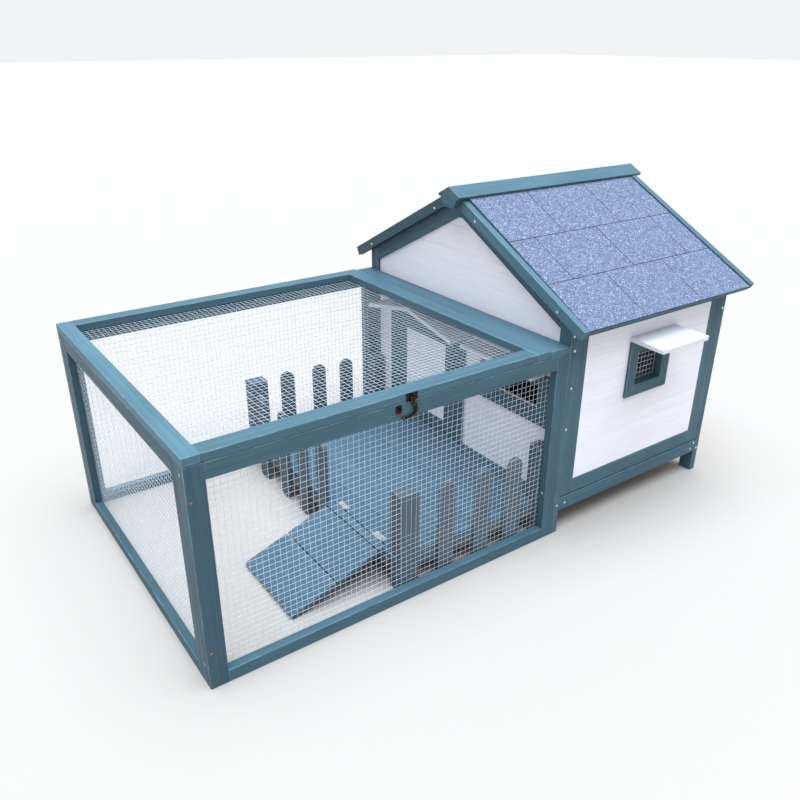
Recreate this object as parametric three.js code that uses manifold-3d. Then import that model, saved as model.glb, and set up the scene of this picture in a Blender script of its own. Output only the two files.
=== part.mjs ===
// Wooden chicken coop: a low wire run with a hinged lid, joined to a gable-roofed hen house
// that has a raised picket-fenced deck and a ramp in front of its pop door.
// Millimetres, +Z up. X runs from the run's free end (-X) to the house (+X), the front faces -Y.

import * as THREE from "three";
import { mergeVertices } from "three/addons/utils/BufferGeometryUtils.js";
import Module from "manifold-3d";

const wasm = await Module();
wasm.setup();

// ---------------------------------------------------------------- driving dimensions

const GAP = 0.3;                 // clearance between pieces that touch
const DEPTH = 790;               // front face to rear face of the timber frames
const BOARD = 20;                // thickness of the run's rails and posts
const STILE = 36;                // usual width of a rail or stile

const RUN_X1 = 888;              // the run's far end, where the house begins
const RUN_TOP = 476;             // top of the run's fixed frames
const CORNER_W = 38;             // width of the run's corner posts
const TOP_RAIL_H = 33;
const BOTTOM_RAIL_H = 28;
const MESH_T = 1.8;              // wire mesh panel, measured over the crossing wires
const MESH_LAP = 12;             // how far a mesh panel laps behind its frame

const LID_Z0 = 476.8;
const LID_Z1 = 494;
const LID_X1 = 828;
const LID_SIDE_GAP = 1.5;        // between the lid and the fixed board beside it
const CROSS_BOARD_Z1 = 491;
const LID_END_RAIL_W = 34;
const LID_WALL_RAIL_W = 40;
const LID_FRONT_RAIL_W = 40;
const LID_REAR_RAIL_W = 38;

const HOUSE_X1 = 1452;
const LEFT_FRAME_T = 16;         // thickness of the house's end frames
const RIGHT_FRAME_T = 20;
const WALL_FRAME_T = 18;         // thickness of the front and rear wall frames
const CLADDING_T = 8;            // tongue-and-groove boards
const CLADDING_INSET = 1;        // how far the boards sit behind the face of their frame
const CLADDING_PITCH = 62;       // height of one board
const GROOVE_W = 3;
const GROOVE_D = 1.5;
const SILL_Z0 = 99.5;            // underside of the wall frames
const SILL_H = 38;
const WALL_HEAD_Z0 = 503;        // underside of the wall frames' top rails
const SKIRT_Z0 = 60.5;
const SKIRT_Z1 = 96;
const FLOOR_T = 12;

const EAVE_OVERHANG = 49.5;
const EAVE_Z = 540.5;            // top of the shingles at the eave
const PITCH = 0.5206;            // rise over run of both slopes
const SHINGLE_T = 3;
const ROOF_BOARD_T = 8;
const ROOF_X0 = 869;
const ROOF_X1 = 1481;
const BARGE_T = 17;
const LEFT_BARGE_W = 24.5;
const RIGHT_BARGE_W = 16;
const FRONT_BARGE_PITCH = 0.503; // the run-side front bargeboard is nailed on slightly low at the ridge
const CAP_X0 = 850;
const CAP_X1 = 1503;
const CAP_PEAK_Z = 780.4;
const CAP_HALF_W = 40;
const CAP_T = 7;
const RIDGE_GAP = 4;             // the slopes stop short of the ridge line

const DECK_X0 = 444;
const DECK_Z1 = 92;
const DECK_T = 12;
const FASCIA_T = 16;
const FASCIA_H = 28.7;
const PICKET_T = 10;
const PICKET_W = 41;
const PICKET_FOOT = 6;           // pickets stop just clear of the ground
const FENCE_Y0 = 24;             // outer face of the front pickets
const POST_D = 40;
const RAMP_Y0 = 84;
const RAMP_Y1 = 308;
const RAMP_LENGTH = 250.9;
const RAMP_T = 12;

const WINDOW_TRIM_W = 29;
const AWNING_FALL = 3.5;         // how much lower the front edge of a shelf awning hangs
const AWNING_T = 11;

const ridgeY = DEPTH / 2;
const eaveY = -EAVE_OVERHANG;
const slopeCos = 1 / Math.hypot(1, PITCH);
const slopeSin = PITCH * slopeCos;
const roofThickness = SHINGLE_T + ROOF_BOARD_T;

// ---------------------------------------------------------------- materials

const paint = (color, roughness, metalness = 0) =>
  new THREE.MeshStandardMaterial({ color, roughness, metalness });

const stain = paint(0x4f7385, 0.7);
const deckStain = paint(0x5f8299, 0.75);
const whitewash = paint(0xe6e7ee, 0.75);
const shingleGrit = paint(0x8796b8, 0.95);
const wire = paint(0xc9d2d8, 0.4, 0.9);
const zinc = paint(0xc4cace, 0.35, 1);
const bronze = paint(0x5a4034, 0.45, 1);

// ---------------------------------------------------------------- shape helpers

// Box from its low and high corner along each axis.
function boxShape([x0, x1], [y0, y1], [z0, z1]) {
  const shape = new THREE.BoxGeometry(x1 - x0, y1 - y0, z1 - z0);
  shape.translate((x0 + x1) / 2, (y0 + y1) / 2, (z0 + z1) / 2);
  return shape;
}

function outline(points) {
  return new THREE.Shape(points.map(([a, b]) => new THREE.Vector2(a, b)));
}

// Prism whose outline lies in (y, z) and runs along X, with an optional hole right through.
function prismX(points, x0, x1, hole) {
  const section = outline(points);
  if (hole) section.holes.push(outline(hole));
  const shape = new THREE.ExtrudeGeometry(section, { depth: x1 - x0, bevelEnabled: false });
  shape.rotateY(Math.PI / 2);
  shape.rotateX(Math.PI / 2);
  shape.translate(x0, 0, 0);
  return shape;
}

// Prism whose outline lies in (x, z) and runs along Y.
function prismY(shape2d, y0, y1) {
  const options = { depth: y1 - y0, bevelEnabled: false, curveSegments: 10 };
  const shape = new THREE.ExtrudeGeometry(shape2d, options);
  shape.rotateX(Math.PI / 2);
  shape.translate(0, y1, 0);
  return shape;
}

// Round bar along one axis, centred on a point.
function bar(axis, radius, length, [x, y, z]) {
  const shape = new THREE.CylinderGeometry(radius, radius, length, 14);
  if (axis === "x") shape.rotateZ(Math.PI / 2);
  if (axis === "z") shape.rotateX(Math.PI / 2);
  shape.translate(x, y, z);
  return shape;
}

function solid(geometry) {
  const bare = geometry.clone();
  bare.deleteAttribute("normal");
  bare.deleteAttribute("uv");
  const merged = mergeVertices(bare, 1e-4);
  return new wasm.Manifold(new wasm.Mesh({
    numProp: 3,
    vertProperties: new Float32Array(merged.attributes.position.array),
    triVerts: new Uint32Array(merged.index.array),
  }));
}

function geometryOf(manifold) {
  const mesh = manifold.getMesh();
  const geometry = new THREE.BufferGeometry();
  geometry.setAttribute("position", new THREE.BufferAttribute(mesh.vertProperties, 3));
  geometry.setIndex(new THREE.BufferAttribute(mesh.triVerts, 1));
  geometry.computeVertexNormals();
  return geometry;
}

function join(...geometries) {
  return geometryOf(geometries.map(solid).reduce((sum, next) => sum.add(next)));
}

function cut(geometry, ...tools) {
  return geometryOf(tools.map(solid).reduce((rest, tool) => rest.subtract(tool), solid(geometry)));
}

const coop = new THREE.Group();

function piece(name, geometry, material) {
  const mesh = new THREE.Mesh(geometry, material);
  mesh.name = name;
  coop.add(mesh);
}

// Mirror a (y, z) outline from the front slope to the rear slope.
const toRear = (points) => points.map(([y, z]) => [DEPTH - y, z]).reverse();

// Top of the shingles on the front slope, and the same plane sunk by a thickness.
const roofTop = (y) => EAVE_Z + (y - eaveY) * PITCH;
const roofUnder = (y, thickness) => roofTop(y) - thickness / slopeCos;

// Square frame of four boards joined at the corners, lying in the XZ plane.
function frameXZ([x0, x1], [y0, y1], [z0, z1], side, foot, head) {
  const outer = boxShape([x0, x1], [y0, y1], [z0, z1]);
  const hole = boxShape([x0 + side, x1 - side], [y0 - 1, y1 + 1], [z0 + foot, z1 - head]);
  return cut(outer, hole);
}

// ---------------------------------------------------------------- run

function buildRun() {
  const innerX = [CORNER_W + GAP, RUN_X1 - STILE - GAP];
  const topRail = [RUN_TOP - TOP_RAIL_H, RUN_TOP];
  const bottomRail = [0, BOTTOM_RAIL_H];
  const front = [0, BOARD];
  const rear = [DEPTH - BOARD, DEPTH];
  const full = [0, RUN_TOP];

  piece("run_front_left_post", boxShape([0, CORNER_W], front, full), stain);
  piece("run_front_right_post", boxShape([RUN_X1 - STILE, RUN_X1], front, full), stain);
  piece("run_front_top_rail", boxShape(innerX, front, topRail), stain);
  piece("run_front_bottom_rail", boxShape(innerX, front, bottomRail), stain);

  const rearFrame = frameXZ([0, RUN_X1], rear, full, CORNER_W, BOTTOM_RAIL_H, TOP_RAIL_H);
  piece("run_rear_frame", rearFrame, stain);

  const endY = [BOARD + GAP, DEPTH - BOARD - GAP];
  const endFrame = cut(
    boxShape([0, BOARD - 2], endY, full),
    boxShape([-1, BOARD], [endY[0] + STILE, endY[1] - STILE], [BOTTOM_RAIL_H, RUN_TOP - TOP_RAIL_H]),
  );
  piece("run_end_frame", endFrame, stain);

  const meshZ = [BOTTOM_RAIL_H - MESH_LAP, RUN_TOP - TOP_RAIL_H + MESH_LAP];
  const meshX = [CORNER_W - MESH_LAP, RUN_X1 - STILE + MESH_LAP];
  const behindFront = BOARD + GAP;
  const behindRear = DEPTH - BOARD - GAP;
  piece("run_front_mesh", boxShape(meshX, [behindFront, behindFront + MESH_T], meshZ), wire);
  piece("run_rear_mesh", boxShape(meshX, [behindRear - MESH_T, behindRear], meshZ), wire);

  const endMeshX0 = BOARD - 2 + GAP;
  const endMeshY = [endY[0] + STILE - MESH_LAP, endY[1] - STILE + MESH_LAP];
  piece("run_end_mesh", boxShape([endMeshX0, endMeshX0 + MESH_T], endMeshY, meshZ), wire);

  const crossX = [LID_X1 + LID_SIDE_GAP, RUN_X1 - GAP];
  piece("cross_board", boxShape(crossX, [0, DEPTH], [RUN_TOP + GAP, CROSS_BOARD_Z1]), stain);
}

function buildLid() {
  const height = [LID_Z0, LID_Z1];
  const wallRailX = [LID_X1 - LID_WALL_RAIL_W, LID_X1];
  const frontRailY = [0, LID_FRONT_RAIL_W];
  const rearRailY = [DEPTH - LID_REAR_RAIL_W, DEPTH];
  const between = [LID_END_RAIL_W + GAP, wallRailX[0] - GAP];
  piece("lid_left_rail", boxShape([0, LID_END_RAIL_W], [0, DEPTH], height), stain);
  piece("lid_right_rail", boxShape(wallRailX, [0, DEPTH], height), stain);
  piece("lid_front_rail", boxShape(between, frontRailY, height), stain);
  piece("lid_rear_rail", boxShape(between, rearRailY, height), stain);

  const meshX = [LID_END_RAIL_W - MESH_LAP, wallRailX[0] + MESH_LAP];
  const meshY = [frontRailY[1] - MESH_LAP, rearRailY[0] + MESH_LAP];
  piece("lid_mesh", boxShape(meshX, meshY, [LID_Z0 - GAP - MESH_T, LID_Z0 - GAP]), wire);
}

// Butt hinge on the rear face: one leaf on the lid, one on the rear frame, knuckles sharing an axis.
const LID_AXIS_Y = DEPTH + 4;
const LID_AXIS_Z = RUN_TOP + 1.5;
const LID_LEAF_W = 56;
const LID_LEAF_DROP = 24;        // how far the fixed leaf reaches below the frame's top
const LEAF_T = 1.6;
const KNUCKLE_R = 3;
const KNUCKLE_CLEARANCE = 3.2;

function buildLidHinge(name, x) {
  const half = LID_LEAF_W / 2;
  const third = LID_LEAF_W / 3;
  const plateY = [DEPTH + GAP, DEPTH + GAP + LEAF_T];
  const aroundY = [DEPTH, LID_AXIS_Y + KNUCKLE_R + 2];
  const knuckle = (centre, length) => bar("x", KNUCKLE_R, length, [centre, LID_AXIS_Y, LID_AXIS_Z]);
  const clear = (x0, x1, z0) => boxShape([x0, x1], aroundY, [z0, LID_AXIS_Z + KNUCKLE_CLEARANCE]);

  const lidLeaf = cut(
    join(
      boxShape([x - half, x + half], plateY, [LID_AXIS_Z + 0.6, LID_Z1 - 1]),
      knuckle(x, third - 2 * GAP),
    ),
    clear(x - half - 1, x - third / 2 + GAP, 0),
    clear(x + third / 2 - GAP, x + half + 1, 0),
  );
  piece(`${name}_lid_leaf`, lidLeaf, zinc);

  const frameLeaf = cut(
    join(
      boxShape([x - half, x + half], plateY, [RUN_TOP - LID_LEAF_DROP, LID_AXIS_Z - 0.6]),
      knuckle(x - third, third),
      knuckle(x + third, third),
    ),
    clear(x - third / 2, x + third / 2, LID_AXIS_Z - KNUCKLE_CLEARANCE),
  );
  piece(`${name}_frame_leaf`, frameLeaf, zinc);
}

// Swing hook latch: bronze plate and hook on the lid, keeper peg on the run's top rail.
const LATCH_X = 456;
const LATCH_Z = 487;

function buildLatch() {
  const plateY = [-GAP - LEAF_T, -GAP];
  const hookY = [-5.2, -2.4];
  const plate = join(
    boxShape([LATCH_X - 12, LATCH_X + 14], plateY, [LID_Z0 + 0.5, LID_Z1 - 0.5]),
    bar("y", 1.7, 7, [LATCH_X, -4.4, LATCH_Z]),
  );
  piece("latch_plate", plate, bronze);

  const hook = new THREE.Shape();
  hook.absarc(LATCH_X, LATCH_Z, 5, 0, Math.PI, false);
  hook.quadraticCurveTo(LATCH_X - 4, LATCH_Z - 12, LATCH_X + 1, LATCH_Z - 18);
  hook.quadraticCurveTo(LATCH_X + 10, LATCH_Z - 28, LATCH_X + 3, LATCH_Z - 36);
  hook.quadraticCurveTo(LATCH_X - 3, LATCH_Z - 39, LATCH_X - 19, LATCH_Z - 40);
  hook.lineTo(LATCH_X - 20, LATCH_Z - 44);
  hook.quadraticCurveTo(LATCH_X, LATCH_Z - 45, LATCH_X + 9, LATCH_Z - 38);
  hook.quadraticCurveTo(LATCH_X + 18, LATCH_Z - 24, LATCH_X + 6, LATCH_Z - 12);
  hook.lineTo(LATCH_X + 5, LATCH_Z);
  const pinHole = new THREE.Path();
  pinHole.absarc(LATCH_X, LATCH_Z, 2.1, 0, Math.PI * 2, true);
  hook.holes.push(pinHole);
  const knob = new THREE.SphereGeometry(3.6, 16, 10).translate(LATCH_X - 20, -4.2, LATCH_Z - 42);
  piece("latch_hook", join(prismY(hook, ...hookY), knob), bronze);

  const pegX = LATCH_X - 28;
  const pegZ = LATCH_Z - 21;
  const keeper = join(
    boxShape([pegX - 8, pegX + 5], plateY, [pegZ - 9, pegZ + 7]),
    bar("y", 2.4, 6, [pegX, -4.2, pegZ]),
  );
  piece("latch_catch", keeper, bronze);
}

// ---------------------------------------------------------------- house

const LEG_W = 36;
const END_RAIL_Z = [60, 94];
const RAKE_LOW_Z = 521.7;        // underside of the rake rails where they meet the legs
const RAKE_PEAK_Z = 707;         // underside of the rake rails at the middle
const END_GROOVE_Z = 59;
const LEFT_END = [RUN_X1 + GAP, RUN_X1 + GAP + LEFT_FRAME_T];
const RIGHT_END = [HOUSE_X1 - RIGHT_FRAME_T, HOUSE_X1];
const WALL_X = [LEFT_END[1] + GAP, RIGHT_END[0] - GAP];
const STILE_X = [944, 1391.5];   // inner edges of the front and rear walls' stiles
const CLADDING_SINK = 6;         // the end boards sit this far behind their frame's face

const DOOR_Y = [392, 650];       // the doorway between its two trim boards
const DOOR_TOP = 398;
const DOOR_FLOOR = END_RAIL_Z[1] + GAP;
const DOOR_TRIM_Y = [356, 686];
const TRIM_X = [886.3, 894];     // the trim nailed to the run side of the end boards
const HOOD_X0 = 819;
const HOOD_Y = [332, 705];
const HOOD_END_Z = 405;          // underside of the hood at its ends and in the middle
const HOOD_PEAK_Z = 441;
const HOOD_T = 11;

const INNER_WINDOW_Y = [86, 252];
const INNER_WINDOW_Z = [306, 365];
const INNER_TRIM_Y = [50, 290];
const INNER_TRIM_Z = [267, 396];

// Notches across the outer face of tongue-and-groove boards, running along X on a front wall.
function wallGrooves(firstZ, lastZ) {
  const face = CLADDING_INSET;
  const notches = [];
  for (let z = firstZ; z < lastZ; z += CLADDING_PITCH) {
    const notch = [[face - 0.1, z - GROOVE_W / 2], [face + GROOVE_D, z], [face - 0.1, z + GROOVE_W / 2]];
    notches.push(notch);
  }
  return notches;
}

// The same notches running along Y on an end wall whose outer face looks along side (-1 or +1).
function endGrooves(faceX, side) {
  const notches = [];
  for (let z = END_GROOVE_Z + CLADDING_PITCH; z < RAKE_PEAK_Z; z += CLADDING_PITCH) {
    const notch = new THREE.Shape();
    notch.moveTo(faceX + side * 0.1, z - GROOVE_W / 2);
    notch.lineTo(faceX - side * GROOVE_D, z);
    notch.lineTo(faceX + side * 0.1, z + GROOVE_W / 2);
    notches.push(prismY(notch, LEG_W - 1, DEPTH - LEG_W + 1));
  }
  return notches;
}

function buildEnds() {
  const top = (y) => roofUnder(y, roofThickness) - 0.5;
  const section = [
    [0, 0], [LEG_W, 0], [LEG_W, END_RAIL_Z[0]], [DEPTH - LEG_W, END_RAIL_Z[0]], [DEPTH - LEG_W, 0],
    [DEPTH, 0], [DEPTH, top(0)], [ridgeY, top(ridgeY)], [0, top(0)],
  ];
  const opening = (inset) => [
    [LEG_W + inset, END_RAIL_Z[1] + inset], [DEPTH - LEG_W - inset, END_RAIL_Z[1] + inset],
    [DEPTH - LEG_W - inset, RAKE_LOW_Z - inset], [ridgeY, RAKE_PEAK_Z - inset],
    [LEG_W + inset, RAKE_LOW_Z - inset],
  ];
  piece("house_left_end_frame", prismX(section, ...LEFT_END, opening(0)), stain);
  piece("house_right_end_frame", prismX(section, ...RIGHT_END, opening(0)), stain);

  const leftFace = LEFT_END[0] + CLADDING_SINK;
  const leftBoards = cut(
    prismX(opening(GAP), leftFace, leftFace + CLADDING_T),
    boxShape([leftFace - 1, leftFace + CLADDING_T + 1], DOOR_Y, [0, DOOR_TOP]),
    boxShape([leftFace - 1, leftFace + CLADDING_T + 1], INNER_WINDOW_Y, INNER_WINDOW_Z),
    ...endGrooves(leftFace, -1),
  );
  piece("house_left_end_boards", leftBoards, whitewash);

  const rightFace = RIGHT_END[1] - CLADDING_SINK;
  const rightBoards = cut(
    prismX(opening(GAP), rightFace - CLADDING_T, rightFace),
    ...endGrooves(rightFace, 1),
  );
  piece("house_right_end_boards", rightBoards, whitewash);
}

const WINDOW_X = [1091, 1243];     // the window trim's outer edges
const WINDOW_Z = [313.5, 457];
const WINDOW_TRIM_Y0 = -6;         // the trim is planted on the boards
const WINDOW_LINER_T = 8;
const WINDOW_LINER_Y1 = 19.5;
const WINDOW_MESH_Y0 = 14;
const windowOpening = ([low, high]) => [low + WINDOW_TRIM_W, high - WINDOW_TRIM_W];
const grown = ([low, high], by) => [low - by, high + by];

function buildWalls() {
  const headZ = roofUnder(0, roofThickness) - 1;
  const frameY = [0, WALL_FRAME_T];
  const frame = (y) => cut(
    boxShape(WALL_X, y, [SILL_Z0, headZ]),
    boxShape(STILE_X, [y[0] - 1, y[1] + 1], [SILL_Z0 + SILL_H, WALL_HEAD_Z0]),
  );
  const mirrored = ([y0, y1]) => [DEPTH - y1, DEPTH - y0];
  piece("front_wall_frame", frame(frameY), stain);
  piece("rear_wall_frame", frame(mirrored(frameY)), stain);

  const boardX = [STILE_X[0] + GAP, STILE_X[1] - GAP];
  const boardY = [CLADDING_INSET, CLADDING_INSET + CLADDING_T];
  const boardZ = [SILL_Z0 + SILL_H + GAP, WALL_HEAD_Z0 - GAP];
  const notches = wallGrooves(SILL_Z0 + SILL_H + CLADDING_PITCH, WALL_HEAD_Z0);
  const across = (points) => prismX(points, STILE_X[0] - 1, STILE_X[1] + 1);
  const windowHole = boxShape(
    grown(windowOpening(WINDOW_X), WINDOW_LINER_T + GAP),
    frameY,
    grown(windowOpening(WINDOW_Z), WINDOW_LINER_T + GAP),
  );
  const frontBoards = cut(boxShape(boardX, boardY, boardZ), windowHole, ...notches.map(across));
  piece("front_wall_boards", frontBoards, whitewash);

  const rearBoards = cut(boxShape(boardX, mirrored(boardY), boardZ), ...notches.map(toRear).map(across));
  piece("rear_wall_boards", rearBoards, whitewash);

  const floor = cut(
    boxShape(WALL_X, [0, DEPTH], [SKIRT_Z0, SKIRT_Z1]),
    boxShape([WALL_X[0] - 1, WALL_X[1] + 1], [WALL_FRAME_T, DEPTH - WALL_FRAME_T], [0, SKIRT_Z1 - FLOOR_T]),
  );
  piece("house_floor", floor, stain);
}

const WINDOW_AWNING_X = [1089.5, 1256.5];
const WINDOW_AWNING_Y0 = -93.5;
const WINDOW_AWNING_Z = 455.5;     // underside of the front edge
const INNER_AWNING_X0 = 839;
const INNER_AWNING_Y = [62, 318];
const INNER_AWNING_Z = 397;

// Sloping shelf seen end on, from its free edge back to the wall.
function awningSection(free, wall, z) {
  return [[free, z], [wall, z + AWNING_FALL], [wall, z + AWNING_FALL + AWNING_T], [free, z + AWNING_T]];
}

// Trimmed, lined and meshed opening in the front wall, under a small shelf awning.
function buildFrontWindow() {
  const openX = windowOpening(WINDOW_X);
  const openZ = windowOpening(WINDOW_Z);
  const planted = boxShape(WINDOW_X, [WINDOW_TRIM_Y0, CLADDING_INSET - GAP], WINDOW_Z);
  const lining = boxShape(
    grown(openX, WINDOW_LINER_T),
    [WINDOW_TRIM_Y0 + 1, WINDOW_LINER_Y1],
    grown(openZ, WINDOW_LINER_T),
  );
  const through = boxShape(openX, [WINDOW_TRIM_Y0 - 1, WINDOW_LINER_Y1 + 1], openZ);
  piece("front_window_trim", cut(join(planted, lining), through), stain);

  const meshY = [WINDOW_MESH_Y0, WINDOW_MESH_Y0 + MESH_T];
  piece("front_window_mesh", boxShape(grown(openX, -GAP), meshY, grown(openZ, -GAP)), wire);

  const awning = awningSection(WINDOW_AWNING_Y0, CLADDING_INSET - GAP, WINDOW_AWNING_Z);
  piece("front_window_awning", prismX(awning, ...WINDOW_AWNING_X), whitewash);
}

function buildInnerWindow() {
  const trim = cut(
    boxShape(TRIM_X, INNER_TRIM_Y, INNER_TRIM_Z),
    boxShape([TRIM_X[0] - 1, TRIM_X[1] + 1], INNER_WINDOW_Y, INNER_WINDOW_Z),
  );
  piece("inner_window_trim", trim, stain);

  const awning = outline(awningSection(INNER_AWNING_X0, TRIM_X[1], INNER_AWNING_Z));
  piece("inner_window_awning", prismY(awning, ...INNER_AWNING_Y), whitewash);
}

// Doorway surround with a low pediment, gabled hood, and the framed door leaf.
function buildPopDoor() {
  const middle = (HOOD_Y[0] + HOOD_Y[1]) / 2;
  const fall = (HOOD_PEAK_Z - HOOD_END_Z) / (middle - HOOD_Y[0]);
  const hoodUnder = (y) => HOOD_PEAK_Z - Math.abs(y - middle) * fall;
  const surround = [
    [DOOR_TRIM_Y[0], DOOR_FLOOR], [DOOR_Y[0], DOOR_FLOOR], [DOOR_Y[0], DOOR_TOP], [DOOR_Y[1], DOOR_TOP],
    [DOOR_Y[1], DOOR_FLOOR], [DOOR_TRIM_Y[1], DOOR_FLOOR], [DOOR_TRIM_Y[1], hoodUnder(DOOR_TRIM_Y[1]) - GAP],
    [middle, HOOD_PEAK_Z - GAP], [DOOR_TRIM_Y[0], hoodUnder(DOOR_TRIM_Y[0]) - GAP],
  ];
  piece("pop_door_trim", prismX(surround, ...TRIM_X), stain);

  const hood = [
    [HOOD_Y[0], HOOD_END_Z], [middle, HOOD_PEAK_Z], [HOOD_Y[1], HOOD_END_Z],
    [HOOD_Y[1], HOOD_END_Z + HOOD_T], [middle, HOOD_PEAK_Z + HOOD_T], [HOOD_Y[0], HOOD_END_Z + HOOD_T],
  ];
  piece("pop_door_hood", prismX(hood, HOOD_X0, TRIM_X[1]), whitewash);

  const leafX = [887, 899];
  const leafY = [DOOR_Y[0] + 3.5, DOOR_Y[1] - 2];
  const leafZ = [DOOR_FLOOR + 1, DOOR_TOP - 2];
  const stile = 38;
  const panelY = [leafY[0] + stile, leafY[1] - stile];
  const panelZ = [leafZ[0] + stile, leafZ[1] - stile];
  const leaf = cut(boxShape(leafX, leafY, leafZ), boxShape([leafX[0] - 1, leafX[1] + 1], panelY, panelZ));
  piece("pop_door_frame", leaf, stain);

  const panelBoards = cut(
    boxShape(
      [leafX[0] + 1, leafX[0] + 1 + CLADDING_T],
      [panelY[0] + GAP, panelY[1] - GAP],
      [panelZ[0] + GAP, panelZ[1] - GAP],
    ),
    ...endGrooves(leafX[0] + 1, -1),
  );
  piece("pop_door_panel", panelBoards, whitewash);
}

// ---------------------------------------------------------------- roof

const COURSES = [150.1, 298.1];  // lower edges of the shingle courses, measured up the slope
const TAB_JOINTS = [[1071, 1273], [968, 1174, 1380], [1068, 1270]];
const JOINT_W = 1.6;
const JOINT_D = 1.4;
const SHINGLE_X = [ROOF_X0 + BARGE_T + GAP, ROOF_X1 - BARGE_T - GAP];

// Section of a layer of the front slope, from y0 to y1 and between two depths below the shingles' top.
function layer(y0, y1, high, low) {
  const down = (y, depth) => [y, roofUnder(y, depth)];
  return [down(y0, low), down(y1, low), down(y1, high), down(y0, high)];
}

function shinglesOn(place) {
  const upperEnd = ridgeY - RIDGE_GAP;
  const edges = [0, ...COURSES].map((distance) => eaveY + distance * slopeCos);
  edges.push(upperEnd);
  const tools = [];
  TAB_JOINTS.forEach((row, course) => {
    if (course > 0) {
      const line = layer(edges[course] - JOINT_W / 2, edges[course] + JOINT_W / 2, -1, JOINT_D);
      tools.push(prismX(place(line), ROOF_X0, ROOF_X1));
    }
    row.forEach((x) => {
      const joint = layer(edges[course], edges[course + 1] + 1, -1, JOINT_D);
      tools.push(prismX(place(joint), x - JOINT_W / 2, x + JOINT_W / 2));
    });
  });
  return cut(prismX(place(layer(eaveY, upperEnd, 0, SHINGLE_T)), ...SHINGLE_X), ...tools);
}

// Bargeboard section with a square-cut foot, and the shingle plane kept clear under the cap.
function bargeOn(place, x0, width, proud, pitch) {
  const top = (y) => EAVE_Z + proud + (y - eaveY) * pitch;
  const upperEnd = ridgeY - RIDGE_GAP;
  const section = [
    [eaveY, top(eaveY)], [eaveY + width * slopeSin, top(eaveY) - width * slopeCos],
    [upperEnd, top(upperEnd) - width / slopeCos], [upperEnd, top(upperEnd)],
  ];
  const underCap = layer(ridgeY - CAP_HALF_W - 1, ridgeY + 1, -20, 0);
  return cut(prismX(place(section), x0, x0 + BARGE_T - GAP), prismX(place(underCap), x0 - 1, x0 + BARGE_T));
}

function buildRoof() {
  const asIs = (points) => points;
  const upperEnd = ridgeY - RIDGE_GAP;
  const boards = layer(eaveY, upperEnd, SHINGLE_T + GAP, roofThickness);
  piece("roof_front_board", prismX(boards, ...SHINGLE_X), stain);
  piece("roof_rear_board", prismX(toRear(boards), ...SHINGLE_X), stain);
  piece("roof_front_shingles", shinglesOn(asIs), shingleGrit);
  piece("roof_rear_shingles", shinglesOn(toRear), shingleGrit);

  const farX = ROOF_X1 - BARGE_T + GAP;
  piece("barge_front_left", bargeOn(asIs, ROOF_X0, LEFT_BARGE_W, 0.8, FRONT_BARGE_PITCH), stain);
  piece("barge_rear_left", bargeOn(toRear, ROOF_X0, LEFT_BARGE_W, 2.3, PITCH), stain);
  piece("barge_front_right", bargeOn(asIs, farX, RIGHT_BARGE_W, 5, PITCH), stain);
  piece("barge_rear_right", bargeOn(toRear, farX, RIGHT_BARGE_W, 5, PITCH), stain);

  const edgeZ = CAP_PEAK_Z - CAP_HALF_W * PITCH;
  const wing = [
    [ridgeY - CAP_HALF_W, edgeZ],
    [ridgeY - CAP_HALF_W + CAP_T * slopeSin, edgeZ - CAP_T * slopeCos],
    [ridgeY, CAP_PEAK_Z - CAP_T / slopeCos],
    [ridgeY + CAP_HALF_W - CAP_T * slopeSin, edgeZ - CAP_T * slopeCos],
    [ridgeY + CAP_HALF_W, edgeZ],
    [ridgeY, CAP_PEAK_Z],
  ];
  const block = [
    [ridgeY - 18, 731], [ridgeY + 18, 731], [ridgeY + 28, 750], [ridgeY + 34, 756.5],
    [ridgeY + CAP_HALF_W, edgeZ], [ridgeY, CAP_PEAK_Z], [ridgeY - CAP_HALF_W, edgeZ],
    [ridgeY - 34, 756.5], [ridgeY - 28, 750],
  ];
  const cap = join(
    prismX(wing, CAP_X0, CAP_X1),
    prismX(block, CAP_X0, ROOF_X0 - GAP),
    prismX(block, ROOF_X1 + GAP, CAP_X1),
  );
  piece("ridge_cap", cap, stain);
  buildRoofHinge(edgeZ);
}

// Strip hinge along the cap's rear edge: the cap lifts with the front slope.
const ROOF_AXIS_Y = 438;
const ROOF_AXIS_Z = 753.2;
const ROOF_HINGE_X = [1056, 1296];
const ROOF_KNUCKLE = 48;
const ROOF_LEAF = 20;

function buildRoofHinge(capEdgeZ) {
  const [x0, x1] = ROOF_HINGE_X;
  const axis = (x) => [x, ROOF_AXIS_Y, ROOF_AXIS_Z];
  const centre = (slot) => axis(x0 + (slot + 0.5) * ROOF_KNUCKLE);
  const barrel = (slot) => bar("x", KNUCKLE_R, ROOF_KNUCKLE - 2 * GAP, centre(slot));
  const clearance = (slot) => bar("x", KNUCKLE_R + 0.4, ROOF_KNUCKLE + 2 * GAP, centre(slot));
  const along = (distance) => [distance * slopeCos, -distance * slopeSin];
  const corner = (distance, depth) => [
    ridgeY + CAP_HALF_W + along(distance)[0] - depth * slopeSin,
    capEdgeZ + along(distance)[1] - depth * slopeCos,
  ];
  const lug = [corner(GAP, CAP_T), corner(3.6, CAP_T - 1.2), corner(3.6, 0), corner(GAP, 0)];
  const capLeaf = join(
    cut(prismX(lug, x0, x1), clearance(0), clearance(2), clearance(4)),
    barrel(1), barrel(3),
  );
  piece("roof_hinge_cap_leaf", capLeaf, zinc);

  const plateY1 = DEPTH - ROOF_AXIS_Y;
  const plate = toRear(layer(plateY1 - ROOF_LEAF, plateY1, -GAP - LEAF_T, -GAP));
  const slopeLeaf = join(
    cut(prismX(plate, x0, x1), clearance(1), clearance(3)),
    barrel(0), barrel(2), barrel(4),
  );
  piece("roof_hinge_slope_leaf", slopeLeaf, zinc);
}

// ---------------------------------------------------------------- deck, fences and ramp

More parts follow.
